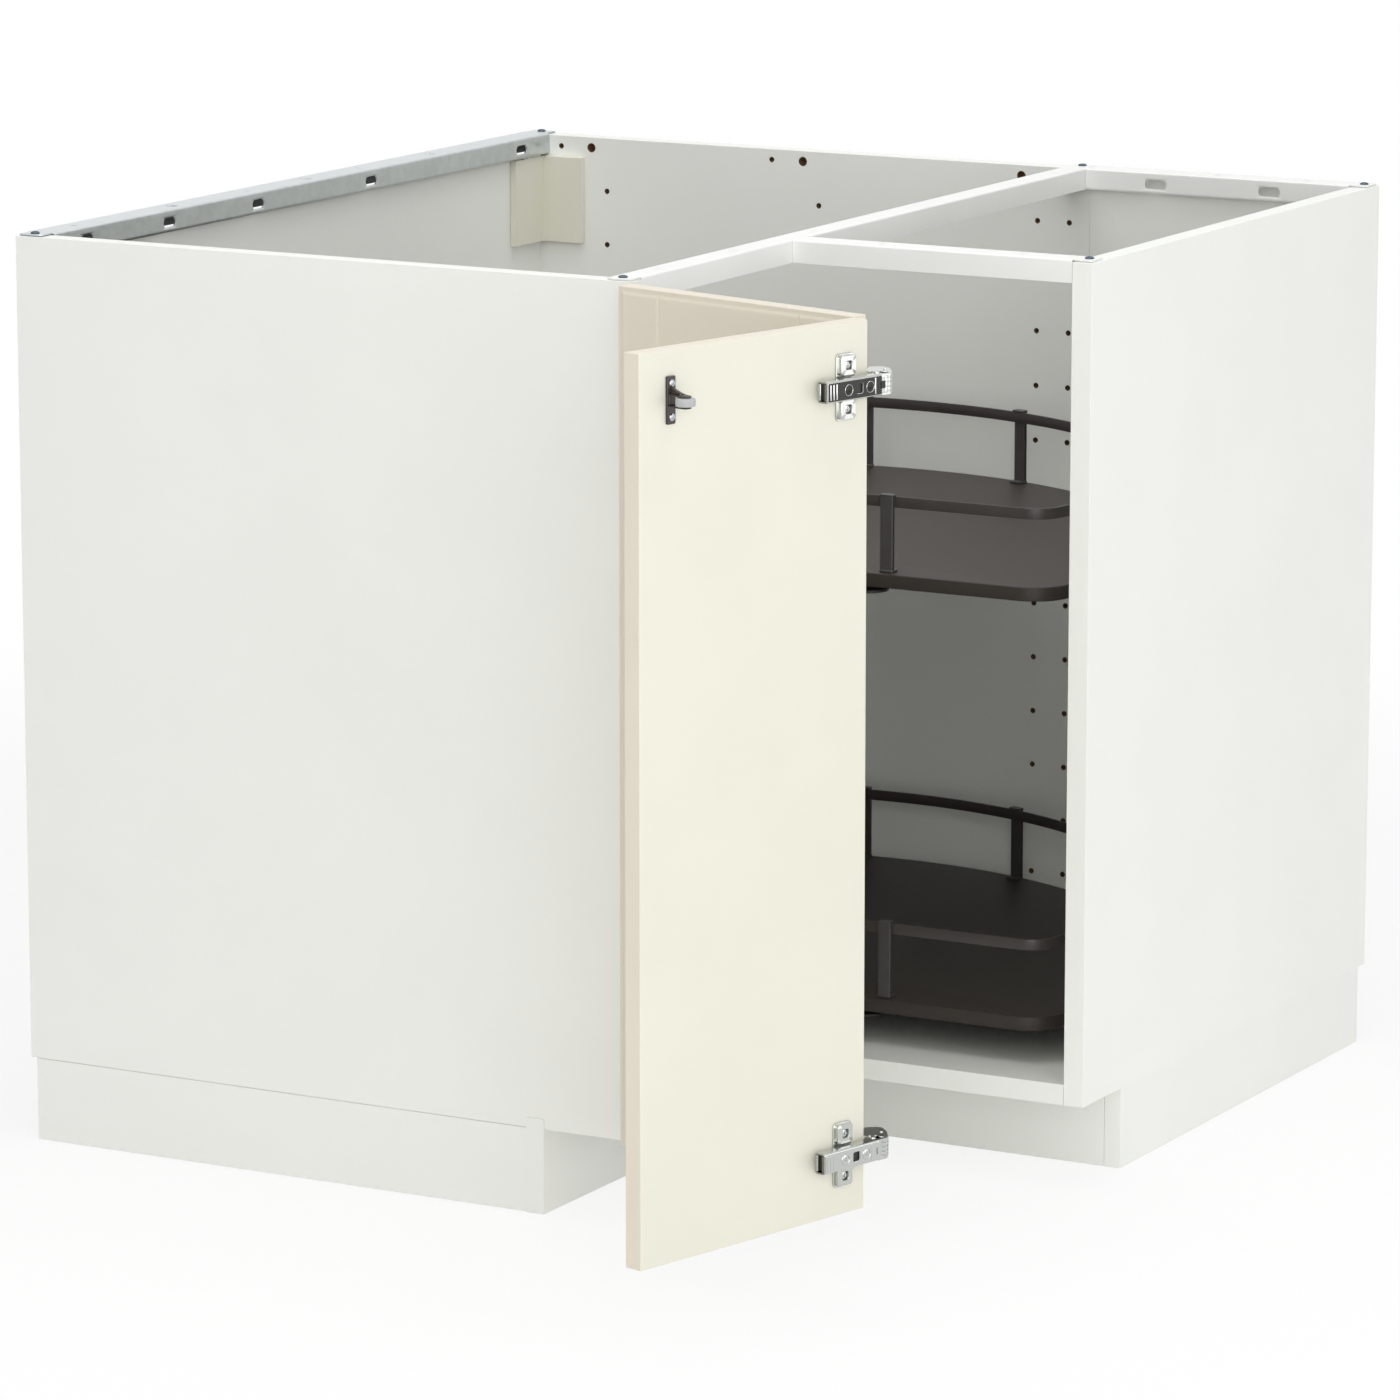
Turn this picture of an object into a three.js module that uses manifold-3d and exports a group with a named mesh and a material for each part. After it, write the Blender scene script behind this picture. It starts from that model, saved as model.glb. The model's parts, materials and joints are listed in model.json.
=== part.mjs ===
// Corner carousel cabinet: an L-shaped kitchen base unit with a two-leaf folding corner door and two
// pie-cut turning trays on a centre post.
// Millimetres, +Z up. The carcass is drawn in room coordinates: the two walls meet at X = 0, Y = 0, the left
// wall is the plane X = 0, the rear wall is the plane Y = 0, and the room lies at +X and -Y.
// The finished group is then moved so that the origin is under the leg that stands in the room's corner.
import * as THREE from 'three';
import { mergeVertices } from 'three/addons/utils/BufferGeometryUtils.js';
import Module from 'manifold-3d';

// Driving dimensions
const WALL_SIDE = 880; // the cabinet's length along each wall
const WING_DEPTH = 600;
const BOARD = 18; // side and bottom panels
const CARCASS_HEIGHT = 720;
const PLINTH_HEIGHT = 73;
const FIT = 0.3; // the gap left between pieces that touch

// Thin back panels, which slide in grooves
const BACK_THICKNESS = 3;
const BACK_INSET = 15; // from the wall to the back panel's rear face
const GROOVE_DEPTH = 8;

// Steel top rails: folded channels with ears that are screwed to the panels' top edges
const SHEET = 1.5;
const RAIL_HEIGHT = 19.3;
const WALL_RAIL_WIDTH = 28;
const MIDDLE_RAIL_WIDTH = 24;
const FRONT_RAIL_WIDTH = 28;
const EAR_WIDTH = 22;
const EAR_INSET = 2; // the ear stops this far short of the panel's outer face
const SLOT_LENGTH = 20;
const SLOT_HEIGHT = 8;
const WALL_RAIL_SLOTS = [72, 342, 525, 669, 796]; // distances from the rear wall
const BACK_RAIL_SLOTS = [671, 784]; // distances from the left wall

// Drilled rows for shelves and fittings, in the side panels' inner faces
const HOLE_COLUMNS = [20.5, 53, 281, 509]; // behind the front edge
const HOLE_ROWS = 13;
const HOLE_PITCH = 51.2;
const TOP_ROW_DOWN = 50.7; // the first row, below the panel's top edge
const HOLE_RADIUS = 2.5;
const HOLE_DEPTH = 11;
const HOLE_SIDES = 5;
const TOP_DOWELS = [70, 298, 526]; // behind the front edge
const TOP_DOWEL_RADIUS = 4.3;
const TOP_SCREW_HOLES = [331, 559];
const TOP_HOLES_DOWN = 10; // below the panel's top edge

// Plinths and legs
const PLINTH_THICKNESS = 15;
const PLINTH_SETBACK = 84; // front plinths, behind the panels' front edges
const END_INSET = 4; // the open end's plinth, behind the end panel's face
const CAP_HEIGHT = 82;
const CAP_WIDTH = 17;
const CAP_THICKNESS = 1.5;
const LEG_INSET = 70; // from the walls and the outer faces to a leg's centre
const FRONT_LEG = 455; // the legs that carry the front plinths, from the walls
const LEG_SIDES = 10;
const SLEEVE_RADIUS = 17;
const SLEEVE_BOTTOM = 30;
const LEG_SCREW_RADIUS = 10;
const FOOT_RADIUS = 25;

// Corner block under the galvanised rail
const BLOCK_THICKNESS = 6.5;
const BLOCK_ALONG_LEFT = 58;
const BLOCK_ALONG_REAR = 48;
const BLOCK_HEIGHT = 82;
const BLOCK_DOWN = 19.5; // its top edge, below the carcass top

// Door: two leaves that meet in the corner. The numbers describe it closed.
const LEAF_THICKNESS = 18;
const LEAF_HEIGHT = 717;
const LEAF_LIFT = 3; // above the carcass bottom
const DOOR_GAP = 2; // behind the leaves, at their ends and between them
const LEAF_BORDER = 6; // width of the sloped border round the face
const BORDER_DEPTH = 1.6;
const GROOVE_WIDTH = 3;
const FACE_GROOVES = [46, 200]; // from the leaf's outer end
const OPEN_ANGLE = 105; // how far the pair stands open as drawn
const PIVOT_OUT = 4.1; // the side hinges' effective centre, outside the side panel's outer face
const PIVOT_FORWARD = 0.3; // and in front of the panel's front edge

// Concealed hinges
const HINGE_DOWN = 50; // hinge centres, from the leaves' ends
const CUP_RADIUS = 17.5;
const CUP_DEPTH = 12;
const CUP_INSET = 22; // cup centre, from the leaf's end
const CUP_SIDES = 14;
const PLATE_WIDTH = 21;
const PLATE_HEIGHT = 53;
const PLATE_THICKNESS = 2.6;
const RIB_HEIGHT = 1.5; // the plate's middle rib, which carries the arm
const FOLD_PLATE_INSET = 27; // plate centre, from the folding leaf's hinge edge
const SIDE_PLATE_INSET = 37; // and behind the side panel's front edge
const ARM_LENGTH = 77;
const ARM_HEIGHT = 17;
const ARM_DEPTH = 10.5;
const ARM_WALL = 1.4;
const ARM_WINDOW = 8;
const ARM_WINDOW_PLACE = 37; // window centre, from the arm's rear end
const FOLD_ARM_OVERHANG = 15; // past the folding leaf's edge
const SIDE_ARM_SETBACK = 1.5; // behind the side panel's front edge

// Roller catch on the folding leaf
const CATCH_FROM_END = 33;
const CATCH_DOWN = 38.5;
const CATCH_WIDTH = 9;
const CATCH_HEIGHT = 37;
const CATCH_SCREW = 13; // above and below the plate's centre
const ROLLER_RADIUS = 7.8;
const ROLLER_HEIGHT = 6.4;
const ROLLER_OUT = 17; // roller axis, behind the leaf's back face
const CATCH_ARM_TIP = 4.6; // radius round the pin

// Carousel
const POST_PLACE = 440; // from each wall
const POST_RADIUS = 12.5;
const POST_TOP = 600;
const TRAY_RADIUS = 393.2;
const TRAY_THICKNESS = 12.3;
const TRAY_TOPS = { upper: 506.3, lower: 132.3 };
const NOTCH = 113.6; // the notch's two edges, from the post's axis
const OUTER_CORNER = 33.6;
const INNER_CORNER = 48;
const GALLERY_HEIGHT = 66; // top of the band, above the board
const BAND_HEIGHT = 9.6;
const BAND_THICKNESS = 2.2;
const ARC_INSET = 8.6; // the band's outer face, from the board's round edge
const EDGE_INSET = 10.5; // and from the notch's edges
const GALLERY_POST_WIDTH = 12;
const GALLERY_POST_DEPTH = 4.4;
const POST_FOOT = 6.5; // how far a gallery post's foot reaches inwards from the band's outer face
const ARC_POSTS = [25, 72.2, 97.3, 135, 172.7, 197.8, 245]; // degrees round the post, from +X
const EDGE_POST = 223.3; // post on each notch edge, from the centre post's axis
const DISC_RADIUS = 17; // small disc under the board, beside the notch
const DISC_PLACE = [198, -89];
const HUB_DROP = 10; // the hub's lower end, below the board
const BEARING_THICKNESS = 3;
const COLLAR_HEIGHT = 7.5;
const TRAY_SEGMENTS = 60; // facets of a full turn of the trays' rims

// Worked out from the driving dimensions
const TOP = PLINTH_HEIGHT + CARCASS_HEIGHT;
const RAIL_TOP = TOP + FIT + SHEET;
const FLOOR_OF_CABINET = PLINTH_HEIGHT + BOARD;
const INNER = WALL_SIDE - BOARD; // inner faces of the two end panels
const LEAF_BOTTOM = PLINTH_HEIGHT + LEAF_LIFT;
const LEAF_TOP = LEAF_BOTTOM + LEAF_HEIGHT;
const LEAF_BACK = WING_DEPTH + DOOR_GAP;
const LEAF_FACE = LEAF_BACK + LEAF_THICKNESS;
const LEAF_LENGTH = WALL_SIDE - DOOR_GAP - (LEAF_FACE + DOOR_GAP);
const HINGE_HEIGHTS = { upper: LEAF_TOP - HINGE_DOWN, lower: LEAF_BOTTOM + HINGE_DOWN };
const PLINTH_FACE = WING_DEPTH - PLINTH_SETBACK;
const PLINTH_BACK = PLINTH_FACE - PLINTH_THICKNESS;
const PLINTH_TOP = PLINTH_HEIGHT - FIT;

const wasm = await Module();
wasm.setup();

const materials = {
  whiteFoil: new THREE.MeshStandardMaterial({ color: 0xe9ebe8, roughness: 0.55, metalness: 0 }),
  whiteSteel: new THREE.MeshStandardMaterial({ color: 0xf2f3f1, roughness: 0.4, metalness: 0 }),
  galvanised: new THREE.MeshStandardMaterial({ color: 0xa9b0b1, roughness: 0.35, metalness: 0.9 }),
  zinc: new THREE.MeshStandardMaterial({ color: 0x8c9094, roughness: 0.3, metalness: 1 }),
  creamFoil: new THREE.MeshStandardMaterial({ color: 0xefebdd, roughness: 0.5, metalness: 0 }),
  chrome: new THREE.MeshStandardMaterial({ color: 0xd5d7d8, roughness: 0.15, metalness: 1 }),
  blackPlastic: new THREE.MeshStandardMaterial({ color: 0x393433, roughness: 0.5, metalness: 0 }),
  greyPlastic: new THREE.MeshStandardMaterial({ color: 0xa4a6a8, roughness: 0.45, metalness: 0 }),
  trayFoil: new THREE.MeshStandardMaterial({ color: 0x4a4541, roughness: 0.5, metalness: 0 }),
  blackSteel: new THREE.MeshStandardMaterial({ color: 0x2c2828, roughness: 0.45, metalness: 0.3 }),
};

// ---- Shape helpers -------------------------------------------------------------------------------------

function solid(geometry) {
  const bare = geometry.clone();
  bare.deleteAttribute('normal');
  bare.deleteAttribute('uv');
  const merged = mergeVertices(bare, 1e-4);
  const corners = merged.index.array;
  const triVerts = [];
  for (let at = 0; at < corners.length; at += 3) {
    const [a, b, c] = [corners[at], corners[at + 1], corners[at + 2]];
    if (a !== b && b !== c && c !== a) triVerts.push(a, b, c);
  }
  return new wasm.Manifold(
    new wasm.Mesh({
      numProp: 3,
      vertProperties: new Float32Array(merged.attributes.position.array),
      triVerts: new Uint32Array(triVerts),
    }),
  );
}

function geometryOf(manifold) {
  const mesh = manifold.getMesh();
  const geometry = new THREE.BufferGeometry();
  geometry.setAttribute('position', new THREE.BufferAttribute(new Float32Array(mesh.vertProperties), 3));
  geometry.setIndex(new THREE.BufferAttribute(new Uint32Array(mesh.triVerts), 1));
  geometry.computeVertexNormals();
  return geometry;
}

const join = (...solids) => solids.reduce((whole, piece) => whole.add(piece));
const cut = (body, ...tools) => body.subtract(join(...tools));

/** A box between two corners. */
function box([x0, y0, z0], [x1, y1, z1]) {
  const geometry = new THREE.BoxGeometry(x1 - x0, y1 - y0, z1 - z0);
  geometry.translate((x0 + x1) / 2, (y0 + y1) / 2, (z0 + z1) / 2);
  return solid(geometry);
}

function extruded(shape, depth, curveSegments) {
  return new THREE.ExtrudeGeometry(shape, { depth, bevelEnabled: false, curveSegments });
}

/** A plan outline carried up from one height to another. */
function prism(shape, low, high, curveSegments = 8) {
  const geometry = extruded(shape, high - low, curveSegments);
  geometry.translate(0, 0, low);
  return solid(geometry);
}

/** An outline of (X, Z) carried along Y. */
function alongY(shape, low, high, curveSegments = 8) {
  const geometry = extruded(shape, high - low, curveSegments);
  geometry.rotateX(Math.PI / 2);
  geometry.translate(0, high, 0);
  return solid(geometry);
}

/** An outline of (Y, Z) carried along X. */
function alongX(shape, low, high, curveSegments = 8) {
  const geometry = extruded(shape, high - low, curveSegments);
  geometry.rotateX(Math.PI / 2);
  geometry.rotateZ(Math.PI / 2);
  geometry.translate(low, 0, 0);
  return solid(geometry);
}

/** A round solid about a vertical axis, from a profile of [radius, height]. */
function turned(profile, sides, x = 0, y = 0) {
  const points = profile.map(([radius, height]) => new THREE.Vector2(radius, height));
  const geometry = new THREE.LatheGeometry(points, sides);
  geometry.rotateX(Math.PI / 2);
  geometry.translate(x, y, 0);
  return solid(geometry);
}

/** A ring about a vertical axis. */
function ring(inner, outer, low, high, sides, x = 0, y = 0) {
  return turned([[inner, low], [outer, low], [outer, high], [inner, high], [inner, low]], sides, x, y);
}

/** A round bar about a vertical axis. */
function bar(radius, low, high, sides, x = 0, y = 0) {
  return turned([[0, low], [radius, low], [radius, high], [0, high]], sides, x, y);
}

function polygon(points) {
  return new THREE.Shape(points.map(([x, y]) => new THREE.Vector2(x, y)));
}

function rectangle(x0, y0, x1, y1) {
  return polygon([[x0, y0], [x1, y0], [x1, y1], [x0, y1]]);
}

function roundedRectangle(x0, y0, x1, y1, radius) {
  const shape = new THREE.Shape();
  shape.absarc(x1 - radius, y0 + radius, radius, -Math.PI / 2, 0);
  shape.absarc(x1 - radius, y1 - radius, radius, 0, Math.PI / 2);
  shape.absarc(x0 + radius, y1 - radius, radius, Math.PI / 2, Math.PI);
  shape.absarc(x0 + radius, y0 + radius, radius, Math.PI, Math.PI * 1.5);
  shape.closePath();
  return shape;
}

function circle(x, y, radius, sides = 16) {
  const points = [];
  for (let side = 0; side < sides; side += 1) {
    const angle = (Math.PI * 2 * side) / sides;
    points.push([x + radius * Math.cos(angle), y + radius * Math.sin(angle)]);
  }
  return polygon(points);
}

const cabinet = new THREE.Group();

function part(name, manifold, material, group = cabinet) {
  const mesh = new THREE.Mesh(geometryOf(manifold), material);
  mesh.name = name;
  group.add(mesh);
  return mesh;
}

// ---- Side panels -----------------------------------------------------------------------------------------

/**
 * The drilling of one side panel, as tools to cut it with. place(distance behind the front edge) gives the
 * hole's place along the panel, and bore(place, height, radius) a bore into the inner face.
 */
function drilling(place, bore) {
  const tools = [];
  for (const column of HOLE_COLUMNS) {
    for (let row = 0; row < HOLE_ROWS; row += 1) {
      const height = TOP - TOP_ROW_DOWN - row * HOLE_PITCH;
      tools.push(bore(place(column), height, HOLE_RADIUS, HOLE_SIDES));
    }
  }
  const topRow = TOP - TOP_HOLES_DOWN;
  for (const dowel of TOP_DOWELS) {
    tools.push(bore(place(dowel), topRow, TOP_DOWEL_RADIUS, 2 * HOLE_SIDES));
  }
  for (const screw of TOP_SCREW_HOLES) {
    tools.push(bore(place(screw), topRow, HOLE_RADIUS, HOLE_SIDES));
  }
  return tools;
}

const boreAlongY = (face, depth) => (x, z, radius, sides) =>
  alongY(circle(x, z, radius, sides), Math.min(face, depth), Math.max(face, depth));
const boreAlongX = (face, depth) => (y, z, radius, sides) =>
  alongX(circle(y, z, radius, sides), Math.min(face, depth), Math.max(face, depth));

const GROOVE_LOW = BACK_INSET - FIT;
const GROOVE_HIGH = BACK_INSET + BACK_THICKNESS + FIT;

function sidePanels() {
  const fromFront = (distance) => WING_DEPTH - distance;
  part(
    'left_side_panel',
    cut(
      box([0, -WALL_SIDE, PLINTH_HEIGHT], [WING_DEPTH, -INNER, TOP]),
      box([GROOVE_LOW, -INNER - GROOVE_DEPTH, PLINTH_HEIGHT - 1], [GROOVE_HIGH, -INNER + 1, TOP + 1]),
      ...drilling(fromFront, boreAlongY(-INNER - HOLE_DEPTH, -INNER + 1)),
    ),
    materials.whiteFoil,
  );
  part(
    'rear_side_panel',
    cut(
      box([0, -BOARD, PLINTH_HEIGHT], [WING_DEPTH, 0, TOP]),
      box([GROOVE_LOW, -BOARD - 1, PLINTH_HEIGHT - 1], [GROOVE_HIGH, GROOVE_DEPTH - BOARD, TOP + 1]),
      ...drilling(fromFront, boreAlongY(-BOARD - 1, HOLE_DEPTH - BOARD)),
    ),
    materials.whiteFoil,
  );
  part(
    'right_side_panel',
    cut(
      box([INNER, -WING_DEPTH, PLINTH_HEIGHT], [WALL_SIDE, 0, TOP]),
      box([INNER - 1, -GROOVE_HIGH, PLINTH_HEIGHT - 1], [INNER + GROOVE_DEPTH, -GROOVE_LOW, TOP + 1]),
      ...drilling((distance) => distance - WING_DEPTH, boreAlongX(INNER - 1, INNER + HOLE_DEPTH)),
    ),
    materials.whiteFoil,
  );
}

// ---- Bottom and back panels ------------------------------------------------------------------------------

function bottomPanels() {
  const top = FLOOR_OF_CABINET;
  const grooveBottom = top - GROOVE_DEPTH;
  part(
    'main_bottom_panel',
    cut(
      box([0, FIT - INNER, PLINTH_HEIGHT], [WING_DEPTH - FIT / 2, -BOARD - FIT, top]),
      box([GROOVE_LOW, -INNER, grooveBottom], [GROOVE_HIGH, 0, top + 1]),
    ),
    materials.whiteFoil,
  );
  part(
    'wing_bottom_panel',
    cut(
      box([WING_DEPTH + FIT / 2, -WING_DEPTH, PLINTH_HEIGHT], [INNER - FIT, 0, top]),
      box([WING_DEPTH, -GROOVE_HIGH, grooveBottom], [INNER, -GROOVE_LOW, top + 1]),
    ),
    materials.whiteFoil,
  );
}

function backPanels() {
  const bottom = FLOOR_OF_CABINET - GROOVE_DEPTH + FIT;
  const top = RAIL_TOP - RAIL_HEIGHT - 1.5;
  const reach = GROOVE_DEPTH - FIT;
  part(
    'left_back_panel',
    box([BACK_INSET, -INNER - reach, bottom], [BACK_INSET + BACK_THICKNESS, reach - BOARD, top]),
    materials.whiteFoil,
  );
  part(
    'wing_back_panel',
    box([WING_DEPTH + FIT, -BACK_INSET - BACK_THICKNESS, bottom], [INNER + reach, -BACK_INSET, top]),
    materials.whiteFoil,
  );
}

// ---- Steel top rails -------------------------------------------------------------------------------------

const SCREW_HOLE_RADIUS = 2.6;

/** The folded section: a top flange with a lip turned down at each edge. Drawn as (across, height). */
function railSection(low, high) {
  const bottom = RAIL_TOP - RAIL_HEIGHT;
  return polygon([
    [low, bottom], [low + SHEET, bottom], [low + SHEET, RAIL_TOP - SHEET], [high - SHEET, RAIL_TOP - SHEET],
    [high - SHEET, bottom], [high, bottom], [high, RAIL_TOP], [low, RAIL_TOP],
  ]);
}

/** An ear of the top flange that lies on a panel's top edge, with its screw hole. */
function ear(x0, y0, x1, y1, screwX, screwY) {
  const hole = bar(SCREW_HOLE_RADIUS, RAIL_TOP - SHEET - 1, RAIL_TOP + 1, 8, screwX, screwY);
  return prism(rectangle(x0, y0, x1, y1), RAIL_TOP - SHEET, RAIL_TOP).subtract(hole);
}

/** A rail's slot as an outline about its centre. */
function slotOutline(centre) {
  const [halfLength, halfHeight] = [SLOT_LENGTH / 2, SLOT_HEIGHT / 2];
  const height = RAIL_TOP - RAIL_HEIGHT / 2;
  return roundedRectangle(
    centre - halfLength,
    height - halfHeight,
    centre + halfLength,
    height + halfHeight,
    halfHeight * 0.99,
  );
}

/** A rail that runs along Y between the left and the rear side panels, with an ear on each. */
function railBetweenSidePanels(name, low, high, material, slots) {
  const start = FIT - INNER;
  const end = -BOARD - FIT;
  const middle = (low + high) / 2;
  const earLow = middle - EAR_WIDTH / 2;
  const earHigh = middle + EAR_WIDTH / 2;
  let rail = join(
    alongY(railSection(low, high), start, end),
    ear(earLow, EAR_INSET - WALL_SIDE, earHigh, start + 2, middle, BOARD / 2 - WALL_SIDE),
    ear(earLow, end - 2, earHigh, -EAR_INSET, middle, -BOARD / 2),
  );
  for (const slot of slots) {
    rail = rail.subtract(alongX(slotOutline(-slot), high - 2 * SHEET, high + 1, 2));
  }
  part(name, rail, material);
}

/** A rail that runs along X from the middle rail to the right side panel, with an ear on that panel. */
function railAcrossWing(name, low, high, slots) {
  const start = WING_DEPTH + FIT;
  const end = INNER - FIT;
  const middle = (low + high) / 2;
  const earHalf = EAR_WIDTH / 2;
  let rail = join(
    alongX(railSection(low, high), start, end),
    ear(end - 2, middle - earHalf, WALL_SIDE - EAR_INSET, middle + earHalf, WALL_SIDE - BOARD / 2, middle),
  );
  for (const slot of slots) {
    rail = rail.subtract(alongY(slotOutline(slot), low - 1, low + 2 * SHEET, 2));
  }
  part(name, rail, materials.whiteSteel);
}

function topRails() {
  railBetweenSidePanels('wall_rail', 0, WALL_RAIL_WIDTH, materials.galvanised, WALL_RAIL_SLOTS);
  railBetweenSidePanels('middle_rail', WING_DEPTH - MIDDLE_RAIL_WIDTH, WING_DEPTH, materials.whiteSteel, []);
  railAcrossWing('front_rail', -WING_DEPTH, FRONT_RAIL_WIDTH - WING_DEPTH, []);
  railAcrossWing('back_rail', -WALL_RAIL_WIDTH, 0, BACK_RAIL_SLOTS);
}

// ---- Corner block ----------------------------------------------------------------------------------------

function cornerBlock() {
  const x0 = BACK_INSET + BACK_THICKNESS + FIT;
  const y0 = -BOARD - FIT;
  const top = TOP - BLOCK_DOWN;
  const outline = polygon([
    [x0, y0], [x0, y0 - BLOCK_ALONG_LEFT], [x0 + BLOCK_THICKNESS, y0 - BLOCK_ALONG_LEFT],
    [x0 + BLOCK_THICKNESS, y0 - BLOCK_THICKNESS], [x0 + BLOCK_ALONG_REAR, y0 - BLOCK_THICKNESS],
    [x0 + BLOCK_ALONG_REAR, y0],
  ]);
  part('corner_block', prism(outline, top - BLOCK_HEIGHT, top), materials.creamFoil);
  const clipLow = top + FIT;
  const clip = join(
    box([x0, y0 - 44, clipLow], [x0 + 8, y0 - 14, clipLow + SHEET]),
    box([x0 + 3, y0 - 34, clipLow], [x0 + 5, y0 - 26, clipLow + 2.4]),
  );
  part('corner_block_clip', clip, materials.zinc);
}

// ---- Plinths ---------------------------------------------------------------------------------------------

function plinths() {
  const face = PLINTH_FACE;
  const back = PLINTH_BACK;
  const endFace = WALL_SIDE - END_INSET;
  part(
    'left_end_plinth',
    box([6, -WALL_SIDE, 0], [back - FIT, PLINTH_THICKNESS - WALL_SIDE, PLINTH_TOP]),
    materials.whiteFoil,
  );
  part('main_front_plinth', box([back, -WALL_SIDE, 0], [face, -back, PLINTH_TOP]), materials.whiteFoil);
  part(
    'wing_front_plinth',
    box([face + FIT, -face, 0], [endFace - PLINTH_THICKNESS - FIT, -back, PLINTH_TOP]),
    materials.whiteFoil,
  );
  part(
    'right_end_plinth',
    box([endFace - PLINTH_THICKNESS, -face, 0], [endFace, -6, PLINTH_TOP]),
    materials.whiteFoil,
  );
  const capOuter = -WALL_SIDE - FIT - CAP_THICKNESS;
  part(
    'plinth_end_cap',
    box([face - CAP_WIDTH, capOuter, 0], [face, -WALL_SIDE - FIT, CAP_HEIGHT]),
    materials.whiteFoil,
  );
}

// ---- Legs ------------------------------------------------------------------------------------------------

const FAR_LEG = WALL_SIDE - LEG_INSET;
const LEGS = {
  corner: [LEG_INSET, -LEG_INSET],
  left_rear: [LEG_INSET, -FAR_LEG],
  left_front: [FRONT_LEG, -FAR_LEG],
  centre: [POST_PLACE, -POST_PLACE],
  right_front: [FAR_LEG, -FRONT_LEG],
  right_rear: [FAR_LEG, -LEG_INSET],
};

function legs() {
  const flange = PLINTH_TOP;
  const profile = [
    [0, 0], [FOOT_RADIUS, 0], [FOOT_RADIUS, 4], [FOOT_RADIUS - 6, 8], [LEG_SCREW_RADIUS, 9],
    [LEG_SCREW_RADIUS, SLEEVE_BOTTOM], [SLEEVE_RADIUS, SLEEVE_BOTTOM], [SLEEVE_RADIUS + 1.5, flange - 8],
    [FOOT_RADIUS + 5, flange - 4], [FOOT_RADIUS + 5, flange], [0, flange],
  ];
  for (const [place, [x, y]] of Object.entries(LEGS)) {
    part(`leg_${place}`, turned(profile, LEG_SIDES, x, y), materials.blackPlastic);
  }
}

/** Clips that hold the front plinths on the legs: a pad on the plinth and a spring ring on the sleeve. */
function plinthClips() {
  const inner = SLEEVE_RADIUS + 1.5;
  const outer = inner + 2.5;
  const mouth = Math.PI * 0.28;
  const clip = (x, y, turn) => {
    const shape = new THREE.Shape();
    shape.absarc(0, 0, outer, Math.PI + mouth, Math.PI * 3 - mouth, false);
    shape.absarc(0, 0, inner, Math.PI * 3 - mouth, Math.PI + mouth, true);
    shape.closePath();
    const reach = PLINTH_BACK - FRONT_LEG - FIT;
    const pieces = join(
      prism(shape, 38, 50, 7),
      prism(rectangle(outer - 1, -4, reach, 4), 38, 50),
      prism(rectangle(reach - 3, -17, reach, 17), 30, 58),
    );
    return pieces.rotate([0, 0, turn]).translate([x, y, 0]);
  };
  part('left_plinth_clip', clip(...LEGS.left_front, 0), materials.blackPlastic);
  part('right_plinth_clip', clip(...LEGS.right_front, -90), materials.blackPlastic);
}

// ---- Door ------------------------------------------------------------------------------------------------

// Everything on the door is drawn closed, then turned about the hinges' effective centre.
const pivot = new THREE.Vector3(WING_DEPTH + PIVOT_FORWARD, -WALL_SIDE - PIVOT_OUT, 0);
const swing = new THREE.Group();
swing.position.copy(pivot);
swing.rotation.z = THREE.MathUtils.degToRad(-OPEN_ANGLE);
const closedDoor = new THREE.Group();
closedDoor.position.copy(pivot).negate();
swing.add(closedDoor);
cabinet.add(swing);

/**
 * One leaf, drawn with its back face at Y = 0 and its face at Y = -LEAF_THICKNESS, its outer end at X = 0.
 * The face has a sloped border all round and two upright grooves.
 */
function leafBlank() {
  const outerFace = -LEAF_THICKNESS;
  const half = GROOVE_WIDTH / 2;
  const sunk = outerFace + BORDER_DEPTH;
  const outline = [[0, 0], [0, sunk], [LEAF_BORDER, outerFace]];
  for (const groove of FACE_GROOVES) {
    outline.push([groove - half, outerFace], [groove, sunk], [groove + half, outerFace]);
  }
  outline.push([LEAF_LENGTH - LEAF_BORDER, outerFace], [LEAF_LENGTH, sunk], [LEAF_LENGTH, 0]);
  const slope = (edge, inward) =>
    polygon([
      [sunk, edge], [outerFace, edge + inward * LEAF_BORDER],
      [outerFace - 2, edge + inward * LEAF_BORDER], [outerFace - 2, edge - inward], [sunk, edge - inward],
    ]);
  return cut(
    prism(polygon(outline), LEAF_BOTTOM, LEAF_TOP),
    alongX(slope(LEAF_TOP, -1), -1, LEAF_LENGTH + 1),
    alongX(slope(LEAF_BOTTOM, 1), -1, LEAF_LENGTH + 1),
  );
}

/** Cup bores in the back of a leaf that is still drawn as leafBlank draws it. */
function cupBores(fromEnd) {
  const bore = (z) => alongY(circle(fromEnd, z, CUP_RADIUS, CUP_SIDES), -CUP_DEPTH, 1);
  return Object.values(HINGE_HEIGHTS).map(bore);
}

// The hinged leaf's outer end is at the left side panel; its face looks towards +X when closed.
function toHingedLeaf(manifold) {
  return manifold.rotate([0, 0, 90]).translate([LEAF_BACK, DOOR_GAP - WALL_SIDE, 0]);
}

// The folding leaf is the mirror image, so its outer end is at the right side panel and it faces -Y.
function toFoldingLeaf(manifold) {
  return manifold.mirror([1, 0, 0]).translate([WALL_SIDE - DOOR_GAP, -LEAF_BACK, 0]);
}

function leaves() {
  const hinged = cut(leafBlank(), ...cupBores(CUP_INSET), ...cupBores(LEAF_LENGTH - CUP_INSET));
  part('hinged_leaf', toHingedLeaf(hinged), materials.creamFoil, closedDoor);
  part('folding_leaf', toFoldingLeaf(leafBlank()), materials.creamFoil, closedDoor);
}

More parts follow.
